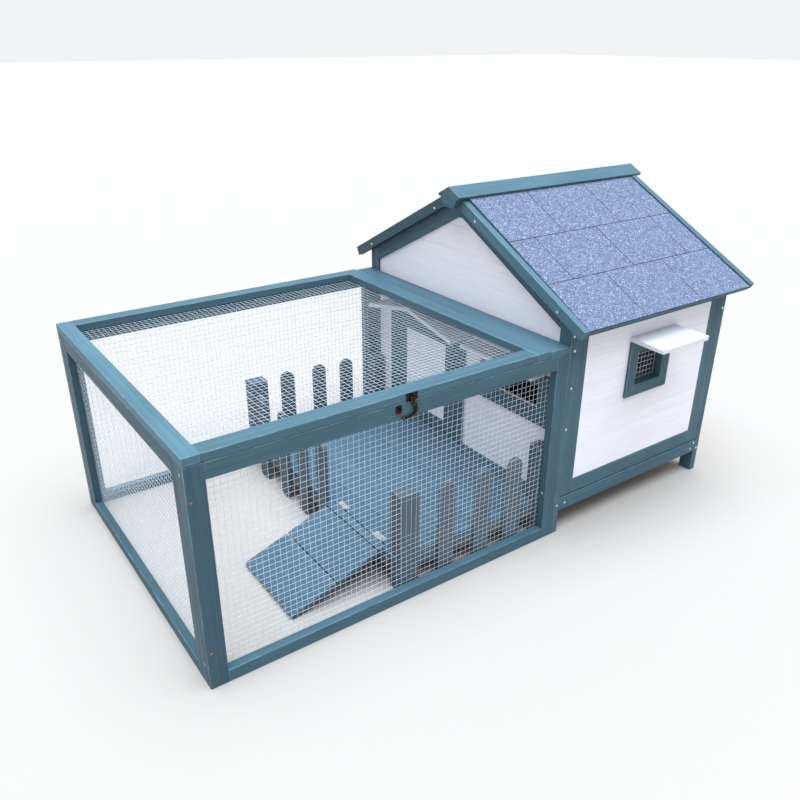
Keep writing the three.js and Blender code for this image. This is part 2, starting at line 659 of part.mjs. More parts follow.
const FENCE_Y1 = FENCE_Y0 + PICKET_T;
const CORNER_POST_X = [450, 500];
const WALL_POST_X = [852, RUN_X1 - GAP];
const CORNER_POST_TOP = 247;
const WALL_POST_TOP = 235;
const SIDE_PICKETS = [            // centre and top of each, falling slightly towards the house
  [577, 242.5],
  [680.5, 240],
  [773, 236.5],
];
const END_PICKET_Y = [331, 427, 525, 648];
const END_PICKET_TOP = 247;
const END_PICKET_X1 = DECK_X0 - GAP;
const END_FASCIA_TOP = 76;       // low enough for the ramp's end to pass above it
const GATE_X1 = 456;             // the deck is notched back to here for the ramp's upper end
const DECK_BOARD = 85;

function picket(centre, top) {
  const half = PICKET_W / 2;
  const shape = new THREE.Shape();
  shape.moveTo(centre - half, PICKET_FOOT);
  shape.lineTo(centre + half, PICKET_FOOT);
  shape.absarc(centre, top - half, half, 0, Math.PI, false);
  return shape;
}

// Side fence, front one as drawn: posts and round-topped pickets on a fascia board.
function sideFence(place) {
  const postY = place([FENCE_Y0, FENCE_Y0 + POST_D]);
  const picketY = place([FENCE_Y0, FENCE_Y1]);
  const fasciaY = place([FENCE_Y1 - 1, FENCE_Y1 + FASCIA_T]);
  const fasciaZ = [DECK_Z1 - DECK_T - GAP - FASCIA_H, DECK_Z1 - DECK_T - GAP];
  return join(
    boxShape(CORNER_POST_X, postY, [0, CORNER_POST_TOP]),
    boxShape(WALL_POST_X, postY, [0, WALL_POST_TOP]),
    boxShape([CORNER_POST_X[0] + 1, WALL_POST_X[1] - 1], fasciaY, fasciaZ),
    ...SIDE_PICKETS.map(([x, top]) => prismY(picket(x, top), ...picketY)),
  );
}

function buildDeck() {
  const asIs = (range) => range;
  const mirrored = ([y0, y1]) => [DEPTH - y1, DEPTH - y0];
  piece("front_fence", sideFence(asIs), deckStain);
  piece("rear_fence", sideFence(mirrored), deckStain);

  const postY = [FENCE_Y0 - 1, FENCE_Y0 + POST_D + GAP];
  const notch = (x, y) => boxShape(grown(x, GAP), y, [0, CORNER_POST_TOP]);
  const joints = [];
  for (let x = CORNER_POST_X[0] + 60; x < RUN_X1; x += DECK_BOARD) {
    joints.push(boxShape([x - 1, x + 1], [0, DEPTH], [DECK_Z1 - 2.5, DECK_Z1 + 1]));
  }
  const deck = cut(
    boxShape([DECK_X0, RUN_X1 - GAP], [FENCE_Y1 + GAP, DEPTH - FENCE_Y1 - GAP], [DECK_Z1 - DECK_T, DECK_Z1]),
    notch(CORNER_POST_X, postY), notch(CORNER_POST_X, mirrored(postY)),
    notch(WALL_POST_X, postY), notch(WALL_POST_X, mirrored(postY)),
    notch([DECK_X0 - 1, GATE_X1], grown([RAMP_Y0, RAMP_Y1], 1)),
    ...joints,
  );
  piece("deck_boards", deck, deckStain);

  const turned = (y) => {
    const board = prismY(picket(y, END_PICKET_TOP), 0, PICKET_T - GAP);
    board.rotateZ(Math.PI / 2);
    return board.translate(END_PICKET_X1, 0, 0);
  };
  const endFascia = boxShape(
    [DECK_X0 - 1, DECK_X0 + FASCIA_T],
    [FENCE_Y0 + POST_D + 1, DEPTH - FENCE_Y0 - POST_D - 1],
    [DECK_Z1 - DECK_T - GAP - FASCIA_H, END_FASCIA_TOP],
  );
  const end = join(endFascia, ...END_PICKET_Y.map(turned));
  piece("end_fence", end, deckStain);
}

// Three-board ramp leaning from the deck's edge to the ground, on a pair of small butt hinges.
const RAMP_TOP = [451, 93.5];    // upper edge of the ramp's top face
const RAMP_AXIS = [454, 96];
const RAMP_ANGLE = Math.asin(0.3264);
const RAMP_JOINTS = [17.3, 131.5];
const RAMP_JOINT_W = 3;
const BATTEN_W = 24;
const BATTEN_INSET = 26;         // from the ramp's side edges
const BATTEN_DEPTH = 8;
const BATTEN_D = [24, 223];      // along the ramp, the upper end clear of the fascia
const RAMP_HINGE_Y = [120.5, 274];
const RAMP_LEAF = 15;
const RAMP_LEAF_W = 39;
const RAMP_KNUCKLE_R = 2.5;

function onRamp(distance, height) {
  const [x, z] = RAMP_TOP;
  const c = Math.cos(RAMP_ANGLE);
  const s = Math.sin(RAMP_ANGLE);
  return new THREE.Vector2(x - distance * c - height * s, z - distance * s + height * c);
}

// Block in the ramp's own slope: along it from the top edge, and up from its top face.
function rampBlock(d0, d1, h0, h1, y0, y1) {
  const corners = [onRamp(d1, h0), onRamp(d0, h0), onRamp(d0, h1), onRamp(d1, h1)];
  return prismY(new THREE.Shape(corners), y0, y1);
}

function buildRamp() {
  const board = (d0, d1) => rampBlock(d0, d1, -RAMP_T, 0, RAMP_Y0, RAMP_Y1);
  const battenAt = (y) => join(
    rampBlock(0, BATTEN_D[1], -RAMP_T - 1, -RAMP_T + 1, y, y + BATTEN_W),
    rampBlock(...BATTEN_D, -RAMP_T - BATTEN_DEPTH, -RAMP_T + 1, y, y + BATTEN_W),
  );
  const ramp = join(
    board(0, RAMP_JOINTS[0]),
    board(RAMP_JOINTS[0] + RAMP_JOINT_W, RAMP_JOINTS[1]),
    board(RAMP_JOINTS[1] + RAMP_JOINT_W, RAMP_LENGTH),
    battenAt(RAMP_Y0 + BATTEN_INSET),
    battenAt(RAMP_Y1 - BATTEN_INSET - BATTEN_W),
  );
  piece("ramp", ramp, deckStain);
  buildRampHinge("ramp_hinge_front", RAMP_HINGE_Y[0]);
  buildRampHinge("ramp_hinge_rear", RAMP_HINGE_Y[1]);
}

// One leaf lies on the deck; the other is bent down over the ramp's upper end.
function buildRampHinge(name, y) {
  const [axisX, axisZ] = RAMP_AXIS;
  const [y0, y1] = [y - RAMP_LEAF_W / 2, y + RAMP_LEAF_W / 2];
  const third = RAMP_LEAF_W / 3;
  const middle = [y0 + third, y1 - third];
  const plateZ = [DECK_Z1 + GAP, DECK_Z1 + GAP + LEAF_T];
  const deckLeaf = join(
    cut(
      boxShape([axisX, axisX + RAMP_LEAF], [y0, y1], plateZ),
      boxShape([axisX - 1, axisX + RAMP_KNUCKLE_R + 1], grown(middle, GAP), [DECK_Z1, axisZ]),
    ),
    bar("y", RAMP_KNUCKLE_R, third, [axisX, y0 + third / 2, axisZ]),
    bar("y", RAMP_KNUCKLE_R, third, [axisX, y1 - third / 2, axisZ]),
  );
  piece(`${name}_deck_leaf`, deckLeaf, zinc);

  const rampLeaf = join(
    rampBlock(-GAP - LEAF_T, -GAP, -9, -2.6, y0, y1),
    rampBlock(-GAP - LEAF_T, -GAP, -3, 1, middle[0] + GAP, middle[1] - GAP),
    bar("y", RAMP_KNUCKLE_R, third - 2 * GAP, [axisX, y, axisZ]),
  );
  piece(`${name}_ramp_leaf`, rampLeaf, zinc);
}

buildRun();
buildLid();
buildLidHinge("lid_hinge_left", 190);
buildLidHinge("lid_hinge_right", 640);
buildLatch();
buildEnds();
buildWalls();
buildFrontWindow();
buildInnerWindow();
buildPopDoor();
buildRoof();
buildDeck();
buildRamp();

// Centre the whole coop over the origin, standing on the ground.
const size = new THREE.Box3().setFromObject(coop);
coop.position.set(-(size.min.x + size.max.x) / 2, -(size.min.y + size.max.y) / 2, -size.min.z);

export default coop;
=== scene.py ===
import math
import random

import bmesh
import bpy
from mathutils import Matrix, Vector


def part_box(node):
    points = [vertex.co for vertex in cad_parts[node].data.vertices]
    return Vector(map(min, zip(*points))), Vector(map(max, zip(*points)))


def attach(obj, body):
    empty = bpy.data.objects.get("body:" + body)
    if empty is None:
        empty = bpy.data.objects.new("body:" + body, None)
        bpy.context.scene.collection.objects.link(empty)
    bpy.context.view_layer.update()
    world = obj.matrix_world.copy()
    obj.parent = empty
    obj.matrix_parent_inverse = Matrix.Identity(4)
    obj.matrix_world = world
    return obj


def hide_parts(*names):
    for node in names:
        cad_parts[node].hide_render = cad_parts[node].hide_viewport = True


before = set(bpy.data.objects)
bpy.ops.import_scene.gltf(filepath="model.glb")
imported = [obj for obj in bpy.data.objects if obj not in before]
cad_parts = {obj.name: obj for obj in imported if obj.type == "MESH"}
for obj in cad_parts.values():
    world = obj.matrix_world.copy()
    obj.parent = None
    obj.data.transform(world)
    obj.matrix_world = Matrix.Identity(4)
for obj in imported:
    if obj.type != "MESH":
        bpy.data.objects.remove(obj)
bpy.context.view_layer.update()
rng = random.Random(11)

# Every length below is in millimetres from the run's front left foot: X along the run towards
# the house, Y from front to rear, Z up.
MM = 0.001
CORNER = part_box("run_front_left_post")[0]


def point(x, y, z):
    return CORNER + Vector((x, y, z)) * MM


def span(node):
    """(x0, x1), (y0, y1), (z0, z1) of a CAD node."""
    low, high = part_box(node)
    return [((low[i] - CORNER[i]) / MM, (high[i] - CORNER[i]) / MM) for i in range(3)]


# ---------------------------------------------------------------- shared sizes, from the frame

DEPTH = span("run_rear_frame")[1][1]
RAIL_LOW = span("run_front_bottom_rail")[2][1]
RAIL_HIGH = span("run_front_top_rail")[2][0]
LEFT_END = span("house_left_end_frame")[0]
RIGHT_END = span("house_right_end_frame")[0]
END_TOP = span("house_left_end_frame")[2][1]
WALL_X = span("front_wall_frame")[0]
WALL_Z = span("front_wall_frame")[2]
WALL_T = span("front_wall_frame")[1][1]
RIDGE_Y = DEPTH / 2
EAVE_Y = span("roof_front_board")[1][0]
SHINGLE_X = span("roof_front_shingles")[0]
ROOF_HIGH = span("roof_front_shingles")[2][1]
RIDGE_GAP = RIDGE_Y - span("roof_front_shingles")[1][1]
PITCH = 0.5206
SLOPE = math.atan(PITCH)
EAVE_Z = ROOF_HIGH - (RIDGE_Y - RIDGE_GAP - EAVE_Y) * PITCH
GRAIN_RISE = math.degrees(SLOPE)

LEG_W = 36
END_RAIL = (60, 94)
RAKE_LOW = 521.7
RAKE_PEAK = 707
BOARD_H = 62
FIRST_END_JOINT = 59
DOOR_FRONT_PLAY = 3.5
DOOR_PLAY = 2
INNER_WINDOW_Y = (86, 252)
INNER_WINDOW_Z = (306, 365)
WINDOW_TRIM_W = 29
LINER_T = 8
AWNING_FALL = 3.5
FIT = 0.3

# ---------------------------------------------------------------- node helpers


def new_material(name):
    material = bpy.data.materials.new(name)
    material.use_nodes = True
    tree = material.node_tree
    return material, tree, tree.nodes["Principled BSDF"]


def node(tree, kind, **values):
    made = tree.nodes.new(kind)
    for key, value in values.items():
        if key in made.inputs:
            made.inputs[key].default_value = value
        else:
            setattr(made, key, value)
    return made


def attribute(tree, name):
    return node(tree, "ShaderNodeAttribute", attribute_name=name)


def ramp(tree, source, stops):
    made = tree.nodes.new("ShaderNodeValToRGB")
    elements = made.color_ramp.elements
    while len(elements) < len(stops):
        elements.new(0.5)
    for element, (at, colour) in zip(elements, stops):
        element.position = at
        element.color = (*colour, 1) if len(colour) == 3 else colour
    tree.links.new(source, made.inputs["Fac"])
    return made.outputs["Color"]


def grey(value):
    return (value, value, value)


def mix(tree, kind, factor, first, second):
    made = tree.nodes.new("ShaderNodeMix")
    made.data_type = "RGBA"
    made.blend_type = kind
    for socket, value in ((made.inputs[0], factor), (made.inputs[6], first), (made.inputs[7], second)):
        if isinstance(value, bpy.types.NodeSocket):
            tree.links.new(value, socket)
        elif isinstance(value, (int, float)):
            socket.default_value = value
        else:
            socket.default_value = (*value, 1)
    return made.outputs[2]


def maths(tree, kind, first, second):
    made = tree.nodes.new("ShaderNodeMath")
    made.operation = kind
    for socket, value in zip(made.inputs, (first, second)):
        if isinstance(value, bpy.types.NodeSocket):
            tree.links.new(value, socket)
        else:
            socket.default_value = value
    return made.outputs[0]


def noise(tree, vector, stretch, detail=4.0, roughness=0.55, distortion=0.0):
    """Noise over a vector in metres; stretch is cells per metre along each axis."""
    mapping = tree.nodes.new("ShaderNodeMapping")
    mapping.inputs["Scale"].default_value = stretch
    tree.links.new(vector, mapping.inputs["Vector"])
    made = node(tree, "ShaderNodeTexNoise", Scale=1.0, Detail=detail, Roughness=roughness,
                Distortion=distortion)
    tree.links.new(mapping.outputs["Vector"], made.inputs["Vector"])
    return made.outputs["Fac"]


def bump(tree, shader, height, strength, distance):
    made = node(tree, "ShaderNodeBump", Strength=strength, Distance=distance)
    tree.links.new(height, made.inputs["Height"])
    tree.links.new(made.outputs["Normal"], shader.inputs["Normal"])


# ---------------------------------------------------------------- materials


def wood(name, dark, light, worn_and_highlight, knot, roughness, relief, depth=1.0):
    """Stained or painted softwood: grain along each board, its own tint (on some boards a painted light or
    shade), knots, and lighter edges that are wear and a painted highlight together.
    """
    material, tree, shader = new_material(name)
    vector = attribute(tree, "grain").outputs["Vector"]
    streaks = noise(tree, vector, (2.2, 110, 110), 5, 0.6, 0.35)
    pores = noise(tree, vector, (14, 620, 620), 3, 0.7)
    patches = noise(tree, vector, (5, 9, 9), 3, 0.5)
    colour = ramp(tree, streaks, [(0.25, dark), (0.75, light)])
    pitting = ramp(tree, pores, [(0.3, grey(0.72)), (0.62, grey(1.0))])
    colour = mix(tree, "MULTIPLY", 0.5 * depth, colour, pitting)
    cloud = ramp(tree, patches, [(0.25, grey(0.78)), (0.75, grey(1.12))])
    colour = mix(tree, "MULTIPLY", 0.6 * depth, colour, cloud)

    cells = tree.nodes.new("ShaderNodeMapping")
    cells.inputs["Scale"].default_value = (4.3, 17, 0)
    tree.links.new(vector, cells.inputs["Vector"])
    knots = node(tree, "ShaderNodeTexVoronoi", Scale=1.0, Randomness=0.9)
    tree.links.new(cells.outputs["Vector"], knots.inputs["Vector"])
    spot = ramp(tree, knots.outputs["Distance"], [(0.03, grey(1.0)), (0.1, grey(0.0))])
    colour = mix(tree, "MIX", maths(tree, "MULTIPLY", spot, 0.4), colour, knot)

    # Per-board tint: the boards' own random tone, plus painted light or shade on some boards.
    tint = maths(tree, "ADD", attribute(tree, "tint").outputs["Fac"], 1.0)
    shade = tree.nodes.new("ShaderNodeCombineColor")
    for channel in shade.inputs:
        tree.links.new(tint, channel)
    colour = mix(tree, "MULTIPLY", 1.0, colour, shade.outputs["Color"])
    # Bevel faces mixed towards a lighter, bluer colour: partly wear on the arrises, partly a painted
    # highlight along them.
    rubbed_and_highlight = maths(tree, "MULTIPLY", attribute(tree, "edge").outputs["Fac"],
                   ramp(tree, noise(tree, vector, (30, 90, 90), 2), [(0.4, grey(0.15)), (0.7, grey(0.75))]))
    colour = mix(tree, "MIX", rubbed_and_highlight, colour, worn_and_highlight)
    tree.links.new(colour, shader.inputs["Base Color"])

    rough = ramp(tree, streaks, [(0.3, grey(roughness + 0.1)), (0.7, grey(roughness - 0.08))])
    tree.links.new(rough, shader.inputs["Roughness"])
    shader.inputs["Specular IOR Level"].default_value = 0.18
    height = mix(tree, "MIX", 0.45, ramp(tree, streaks, [(0, grey(0)), (1, grey(1))]),
                 ramp(tree, pores, [(0, grey(0)), (1, grey(1))]))
    bump(tree, shader, height, relief, 0.0006)
    return material


def felt(name, shades, edge_dark):
    """Mineral-faced roofing felt: fine grit of several shades."""
    material, tree, shader = new_material(name)
    vector = attribute(tree, "grain").outputs["Vector"]
    grit = node(tree, "ShaderNodeTexVoronoi", Scale=500.0, Randomness=1.0)
    tree.links.new(vector, grit.inputs["Vector"])
    split = tree.nodes.new("ShaderNodeSeparateColor")
    tree.links.new(grit.outputs["Color"], split.inputs["Color"])
    colour = ramp(tree, split.outputs["Red"], shades)
    blotches = noise(tree, vector, (55, 55, 55), 4, 0.6)
    colour = mix(tree, "MULTIPLY", 0.7, colour, ramp(tree, blotches, [(0.3, grey(0.82)), (0.7, grey(1.12))]))
    colour = mix(tree, "MIX", attribute(tree, "edge").outputs["Fac"], colour, edge_dark)
    tree.links.new(colour, shader.inputs["Base Color"])
    shader.inputs["Roughness"].default_value = 0.93
    shader.inputs["Specular IOR Level"].default_value = 0.25
    bump(tree, shader, ramp(tree, grit.outputs["Distance"], [(0, grey(1)), (1, grey(0))]), 0.4, 0.0008)
    return material


def metal(name, dark, light, roughness, metallic, cells, band):
    """Plated metal: cloudy colour between two levels of the clouds, and scuffs in its roughness."""
    material, tree, shader = new_material(name)
    vector = tree.nodes.new("ShaderNodeTexCoord").outputs["Object"]
    clouds = noise(tree, vector, (cells, cells, cells), 4, 0.6)
    tree.links.new(ramp(tree, clouds, [(band[0], dark), (band[1], light)]), shader.inputs["Base Color"])
    scuffs = noise(tree, vector, (cells * 3, cells * 5, cells * 3), 3, 0.7)
    tree.links.new(ramp(tree, scuffs, [(0.3, grey(roughness - 0.1)), (0.7, grey(roughness + 0.15))]),
                   shader.inputs["Roughness"])
    shader.inputs["Metallic"].default_value = metallic
    bump(tree, shader, clouds, 0.15, 0.0004)
    return material


stained = wood("stained_wood", (0.042, 0.091, 0.121), (0.066, 0.133, 0.173), (0.16, 0.26, 0.31),
               (0.025, 0.05, 0.065), 0.5, 0.35)
deck_stain = wood("deck_wood", (0.042, 0.085, 0.122), (0.070, 0.126, 0.182), (0.20, 0.30, 0.37),
                  (0.03, 0.06, 0.09), 0.6, 0.4)
# Greyer, less blue copy of the deck stain for the upright fence boards: painted shade of their faces.
fence_shaded_stain = wood("fence_wood_painted_shade", (0.062, 0.084, 0.107), (0.090, 0.119, 0.152), (0.20, 0.27, 0.31),
                   (0.03, 0.05, 0.07), 0.6, 0.4)
white = wood("white_wood", (0.71, 0.70, 0.76), (0.78, 0.77, 0.83), (0.84, 0.83, 0.88),
             (0.60, 0.57, 0.58), 0.6, 0.2, 0.3)
# A darker copy of the white paint for the awnings and the door hood: painted shade that holds down their
# brightly lit tops.
shaded_awning_white = wood("white_awning_painted_shade", (0.55, 0.56, 0.61), (0.59, 0.60, 0.65), (0.64, 0.65, 0.70),
                    (0.46, 0.46, 0.49), 0.6, 0.2, 0.3)
shingle_felt = felt("shingle", [(0.0, (0.062, 0.077, 0.126)), (0.35, (0.090, 0.111, 0.180)),
                                (0.75, (0.118, 0.144, 0.226)), (0.97, (0.27, 0.30, 0.40))],
                    (0.05, 0.06, 0.085))
# Near-black sheet colour: painted shade that shows in the gaps between the shingle tabs.
shade_underlay_felt = felt("shingle_underlay_painted_shade", [(0.0, (0.02, 0.02, 0.025)), (1.0, (0.05, 0.05, 0.06))],
                     (0.02, 0.02, 0.02))
wire = metal("wire_mesh", (0.50, 0.57, 0.65), (0.66, 0.73, 0.81), 0.4, 0.25, 60, (0.35, 0.65))
zinc = metal("zinc", (0.50, 0.53, 0.57), (0.74, 0.77, 0.80), 0.34, 1.0, 90, (0.35, 0.65))
rusted_zinc = metal("rusted_zinc", (0.10, 0.05, 0.035), (0.30, 0.20, 0.16), 0.6, 0.4, 260, (0.4, 0.6))
bronze = metal("bronze", (0.018, 0.012, 0.010), (0.26, 0.17, 0.12), 0.35, 0.9, 260, (0.55, 0.74))

# ---------------------------------------------------------------- mesh stock

PLANES = {
    "xz": lambda u, v, w: (u, w, v),
    "yz": lambda u, v, w: (w, u, v),
    "xy": lambda u, v, w: (u, v, w),
}


def front_slope(u, v, w):
    """u along the ridge, v up the slope from the eave, w above the shingles' plane."""
    c, s = math.cos(SLOPE), math.sin(SLOPE)
    return (u, EAVE_Y + v * c - w * s, EAVE_Z + v * s + w * c)


def rear_slope(u, v, w):
    x, y, z = front_slope(u, v, w)
    return (x, DEPTH - y, z)


class Stock:
    """Collects closed solids, each with its own grain coordinates, into one mesh."""

    def __init__(self, tone=0.0):
        self.tone = tone
        self.points = []
        self.faces = []
        self.grain = []
        self.tint = []
        self.edge = []

    def solid(self, local, faces, rims, place, grain, tint):
        """Add one closed solid given in (u, v, w) millimetres."""
        start = len(self.points)
        spots = [point(*place(*co)) for co in local]
        volume = sum(spots[f[0]].dot(spots[f[k]].cross(spots[f[k + 1]]))
                     for f in faces for k in range(1, len(f) - 1))
        self.points += spots
        self.faces += [[start + i for i in (f if volume > 0 else reversed(f))] for f in faces]
        shift = [rng.uniform(0, 40) for _ in range(3)]
        for u, v, w in local:
            if grain == "w":
                along, across, deep = w, u, v
            else:
                c, s = math.cos(math.radians(grain)), math.sin(math.radians(grain))
                along, across, deep = u * c + v * s, v * c - u * s, w
            self.grain.append((along * MM + shift[0], across * MM + shift[1], deep * MM + shift[2]))
            self.tint.append(tint)
        self.edge += rims

    def board(self, place, outline, depth, grain=0, bevel=1.1, spread=0.07):
        """A board: an outline in (u, v) given a thickness, with its arrises eased."""
        mesh = bmesh.new()
        low = [mesh.verts.new((u, v, depth[0])) for u, v in outline]
        high = [mesh.verts.new((u, v, depth[1])) for u, v in outline]
        mesh.faces.new(list(reversed(low)))
        mesh.faces.new(high)
        for i in range(len(outline)):
            j = (i + 1) % len(outline)
            mesh.faces.new((low[i], low[j], high[j], high[i]))
        mesh.normal_update()
        sharp = [e for e in mesh.edges if e.calc_face_angle(0) > math.radians(24)]
        eased = bmesh.ops.bevel(mesh, geom=sharp, offset=bevel, segments=2, profile=0.5,
                                affect="EDGES", clamp_overlap=True)
        rims = set(eased["faces"])
        mesh.verts.index_update()
        local = [tuple(v.co) for v in mesh.verts]
        faces = [[v.index for v in f.verts] for f in mesh.faces]
        edge = [1.0 if f in rims else 0.0 for f in mesh.faces]
        # The stock's tone is painted light or shade on some boards; the random spread is the boards' own
        # tone.
        self.solid(local, faces, edge, PLANES.get(place, place), grain,
                   self.tone + rng.uniform(-spread, spread))
        mesh.free()

    def tube(self, place, path, radius, sides=4):
        """A thin closed bar through points that run mainly along u or v."""
        along_u = abs(path[-1][0] - path[0][0]) > abs(path[-1][1] - path[0][1])
        local = []
        for u, v, w in path:
            for k in range(sides):
                turn = 2 * math.pi * (k + 0.5) / sides
                side, up = radius * math.cos(turn), radius * math.sin(turn)
                local.append((u, v + side, w + up) if along_u else (u + side, v, w + up))
        faces = [list(reversed(range(sides))), list(range(len(local) - sides, len(local)))]
        for i in range(len(path) - 1):
            for k in range(sides):
                a, b = i * sides + k, i * sides + (k + 1) % sides
                faces.append([a, b, b + sides, a + sides])
        self.solid(local, faces, [0.0] * len(faces), PLANES.get(place, place), 0, 0.0)

    def make(self, name, body, slot, material, *replaced, smooth=20):
        mesh = bpy.data.meshes.new(name)
        mesh.from_pydata([tuple(p) for p in self.points], [], self.faces)
        for key, kind, domain, values, field in (
            ("grain", "FLOAT_VECTOR", "POINT", [c for g in self.grain for c in g], "vector"),
            ("tint", "FLOAT", "POINT", self.tint, "value"),
            ("edge", "FLOAT", "FACE", self.edge, "value"),
        ):
            mesh.attributes.new(key, kind, domain).data.foreach_set(field, values)
        mesh.polygons.foreach_set("use_smooth", [True] * len(mesh.polygons))
        mesh.set_sharp_from_angle(angle=math.radians(smooth))
        mesh.materials.append(material)
        made = bpy.data.objects.new(name, mesh)
        bpy.context.scene.collection.objects.link(made)
        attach(made, body)
        if replaced:
            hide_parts(*replaced)
        return made


def rect(u0, u1, v0, v1):
    return [(u0, v0), (u1, v0), (u1, v1), (u0, v1)]


def mirror_y(outline):
    return [(DEPTH - y, z) for y, z in outline]


# Boards drawn lighter or darker than the rest: painted light on the lit ones and painted shade on the shaded
# ones.
LIGHT_AND_SHADE_TONES = {
    "lid_left_rail": 0.22,
    "lid_right_rail": 0.06,
    "lid_front_rail": 0.08,
    "cross_board": 0.05,
    "run_end_frame": -0.26,
    "run_front_left_post": -0.22,
    "run_front_right_post": -0.1,
    "run_front_top_rail": -0.14,
    "barge_front_left": 0.25,
    "barge_rear_left": -0.35,
}


def timber(cad, body):
    """Redraw a plain CAD board with eased arrises and its grain along its length."""
    sizes = span(cad)
    lengths = [b - a for a, b in sizes]
    thin = lengths.index(min(lengths))
    plane = ("yz", "xz", "xy")[thin]
    u, v = [sizes[i] for i in range(3) if i != thin]
    long_u = (u[1] - u[0]) > (v[1] - v[0])
    stock = Stock(LIGHT_AND_SHADE_TONES.get(cad, 0.0))
    stock.board(plane, rect(*u, *v), sizes[thin], 0 if long_u else 90)
    return stock.make(f"{cad}_board", body, "stained_wood", stained, cad)


# ---------------------------------------------------------------- wire mesh

CELL = 12.7
WIRE_R = 0.36
WIRE_LAYER = 0.9
WIRE_END = 2


def wire_panel(name, cad, plane, body, bulge, radius=WIRE_R):
    """Welded mesh: two layers of fine wires, a little wavy, pushed out by a few millimetres mid-panel."""
    sizes = span(cad)
    thin = [b - a for a, b in sizes].index(min(b - a for a, b in sizes))
    (u0, u1), (v0, v1) = [sizes[i] for i in range(3) if i != thin]
    middle = sum(sizes[thin]) / 2
    stock = Stock()
    phases = [rng.uniform(0, 2 * math.pi) for _ in range(4)]

    def swell(u, v):
        a, b = math.pi * (u - u0) / (u1 - u0), math.pi * (v - v0) / (v1 - v0)
        wave = math.sin(a * 3 + phases[0]) * math.sin(b * 2 + phases[1]) * 0.35
        return bulge * math.sin(a) * math.sin(b) * (1 + wave)

    def drift(along, lane):
        slow = 0.45 * math.sin(along / 83 + phases[2] + lane * 0.21)
        quick = 0.3 * math.sin(along / 37 + lane * 0.9)
        return slow + quick

    def lanes(low, high):
        count = int((high - low) / CELL)
        start = low + ((high - low) - count * CELL) / 2
        return [start + i * CELL for i in range(count + 1)]

    def stations(low, high):
        count = max(2, round((high - low) / (2 * CELL)))
        return [low + (high - low) * i / count for i in range(count + 1)]

    for lane, v in enumerate(lanes(v0 + WIRE_END, v1 - WIRE_END)):
        path = [(u, v + drift(u, lane), middle + radius * WIRE_LAYER + swell(u, v))
                for u in stations(u0, u1)]
        stock.tube(plane, path, radius)
    for lane, u in enumerate(lanes(u0 + WIRE_END, u1 - WIRE_END)):
        path = [(u + drift(v, lane + 50), v, middle - radius * WIRE_LAYER + swell(u, v))
                for v in stations(v0, v1)]
        stock.tube(plane, path, radius)
    return stock.make(name, body, "wire_mesh", wire, cad, smooth=80)


# ---------------------------------------------------------------- run and lid


def framed(name, cad, plane, outer, hole, depth, body="coop"):
    """Four boards round a rectangular opening: the uprights run through."""
    (u0, u1, v0, v1), (a0, a1, b0, b1) = outer, hole
    stock = Stock(LIGHT_AND_SHADE_TONES.get(cad, 0.0))
    stock.board(plane, rect(u0, a0, v0, v1), depth, 90)
    stock.board(plane, rect(a1, u1, v0, v1), depth, 90)
    stock.board(plane, rect(a0 + FIT, a1 - FIT, v0, b0), depth, 0)
    stock.board(plane, rect(a0 + FIT, a1 - FIT, b1, v1), depth, 0)
    return stock.make(name, body, "stained_wood", stained, cad)


def build_run():
    for cad in ("run_front_left_post", "run_front_right_post", "run_front_top_rail", "run_front_bottom_rail",
                "cross_board"):
        timber(cad, "coop")
    post = span("run_front_left_post")[0][1]
    (x0, x1), (y0, y1), (z0, z1) = span("run_rear_frame")
    hole = (x0 + post, x1 - post, RAIL_LOW, RAIL_HIGH)
    framed("run_rear_boards", "run_rear_frame", "xz", (x0, x1, z0, z1), hole, (y0, y1))
    (x0, x1), (y0, y1), (z0, z1) = span("run_end_frame")
    hole = (y0 + LEG_W, y1 - LEG_W, RAIL_LOW, RAIL_HIGH)
    framed("run_end_boards", "run_end_frame", "yz", (y0, y1, z0, z1), hole, (x0, x1))
    wire_panel("run_front_wires", "run_front_mesh", "xz", "coop", 2.5)
    wire_panel("run_rear_wires", "run_rear_mesh", "xz", "coop", -2.0)
    wire_panel("run_end_wires", "run_end_mesh", "yz", "coop", 2.0)


def build_lid():
    for cad in ("lid_left_rail", "lid_right_rail", "lid_front_rail", "lid_rear_rail"):
        timber(cad, "run_lid")
    wire_panel("lid_wires", "lid_mesh", "xy", "run_lid", -3.0)


# ---------------------------------------------------------------- house walls


def roof_under(y):
    """Top of the end frames: just under the roof boards on either slope."""
    return END_TOP - abs(y - RIDGE_Y) * PITCH


def rake_reach(z):
    """Front and rear edges of the boarding at a height."""
    if z <= RAKE_LOW:
        return LEG_W + FIT, DEPTH - LEG_W - FIT
    half = (RIDGE_Y - LEG_W) * (RAKE_PEAK - z) / (RAKE_PEAK - RAKE_LOW)
    return RIDGE_Y - half + FIT, RIDGE_Y + half - FIT


def end_frame(name, cad, depth):
    leg = [(0, 0), (LEG_W, 0), (LEG_W, roof_under(LEG_W)), (0, roof_under(0))]
    rake = [(LEG_W + FIT, RAKE_LOW), (RIDGE_Y - FIT, RAKE_PEAK), (RIDGE_Y - FIT, roof_under(RIDGE_Y)),
            (LEG_W + FIT, roof_under(LEG_W))]
    stock = Stock()
    for outline, grain in ((leg, 90), (rake, GRAIN_RISE)):
        stock.board("yz", outline, depth, grain)
        stock.board("yz", mirror_y(outline), depth, -grain)
    stock.board("yz", rect(LEG_W + FIT, DEPTH - LEG_W - FIT, *END_RAIL), depth, 0)
    return stock.make(name, "coop", "stained_wood", stained, cad)


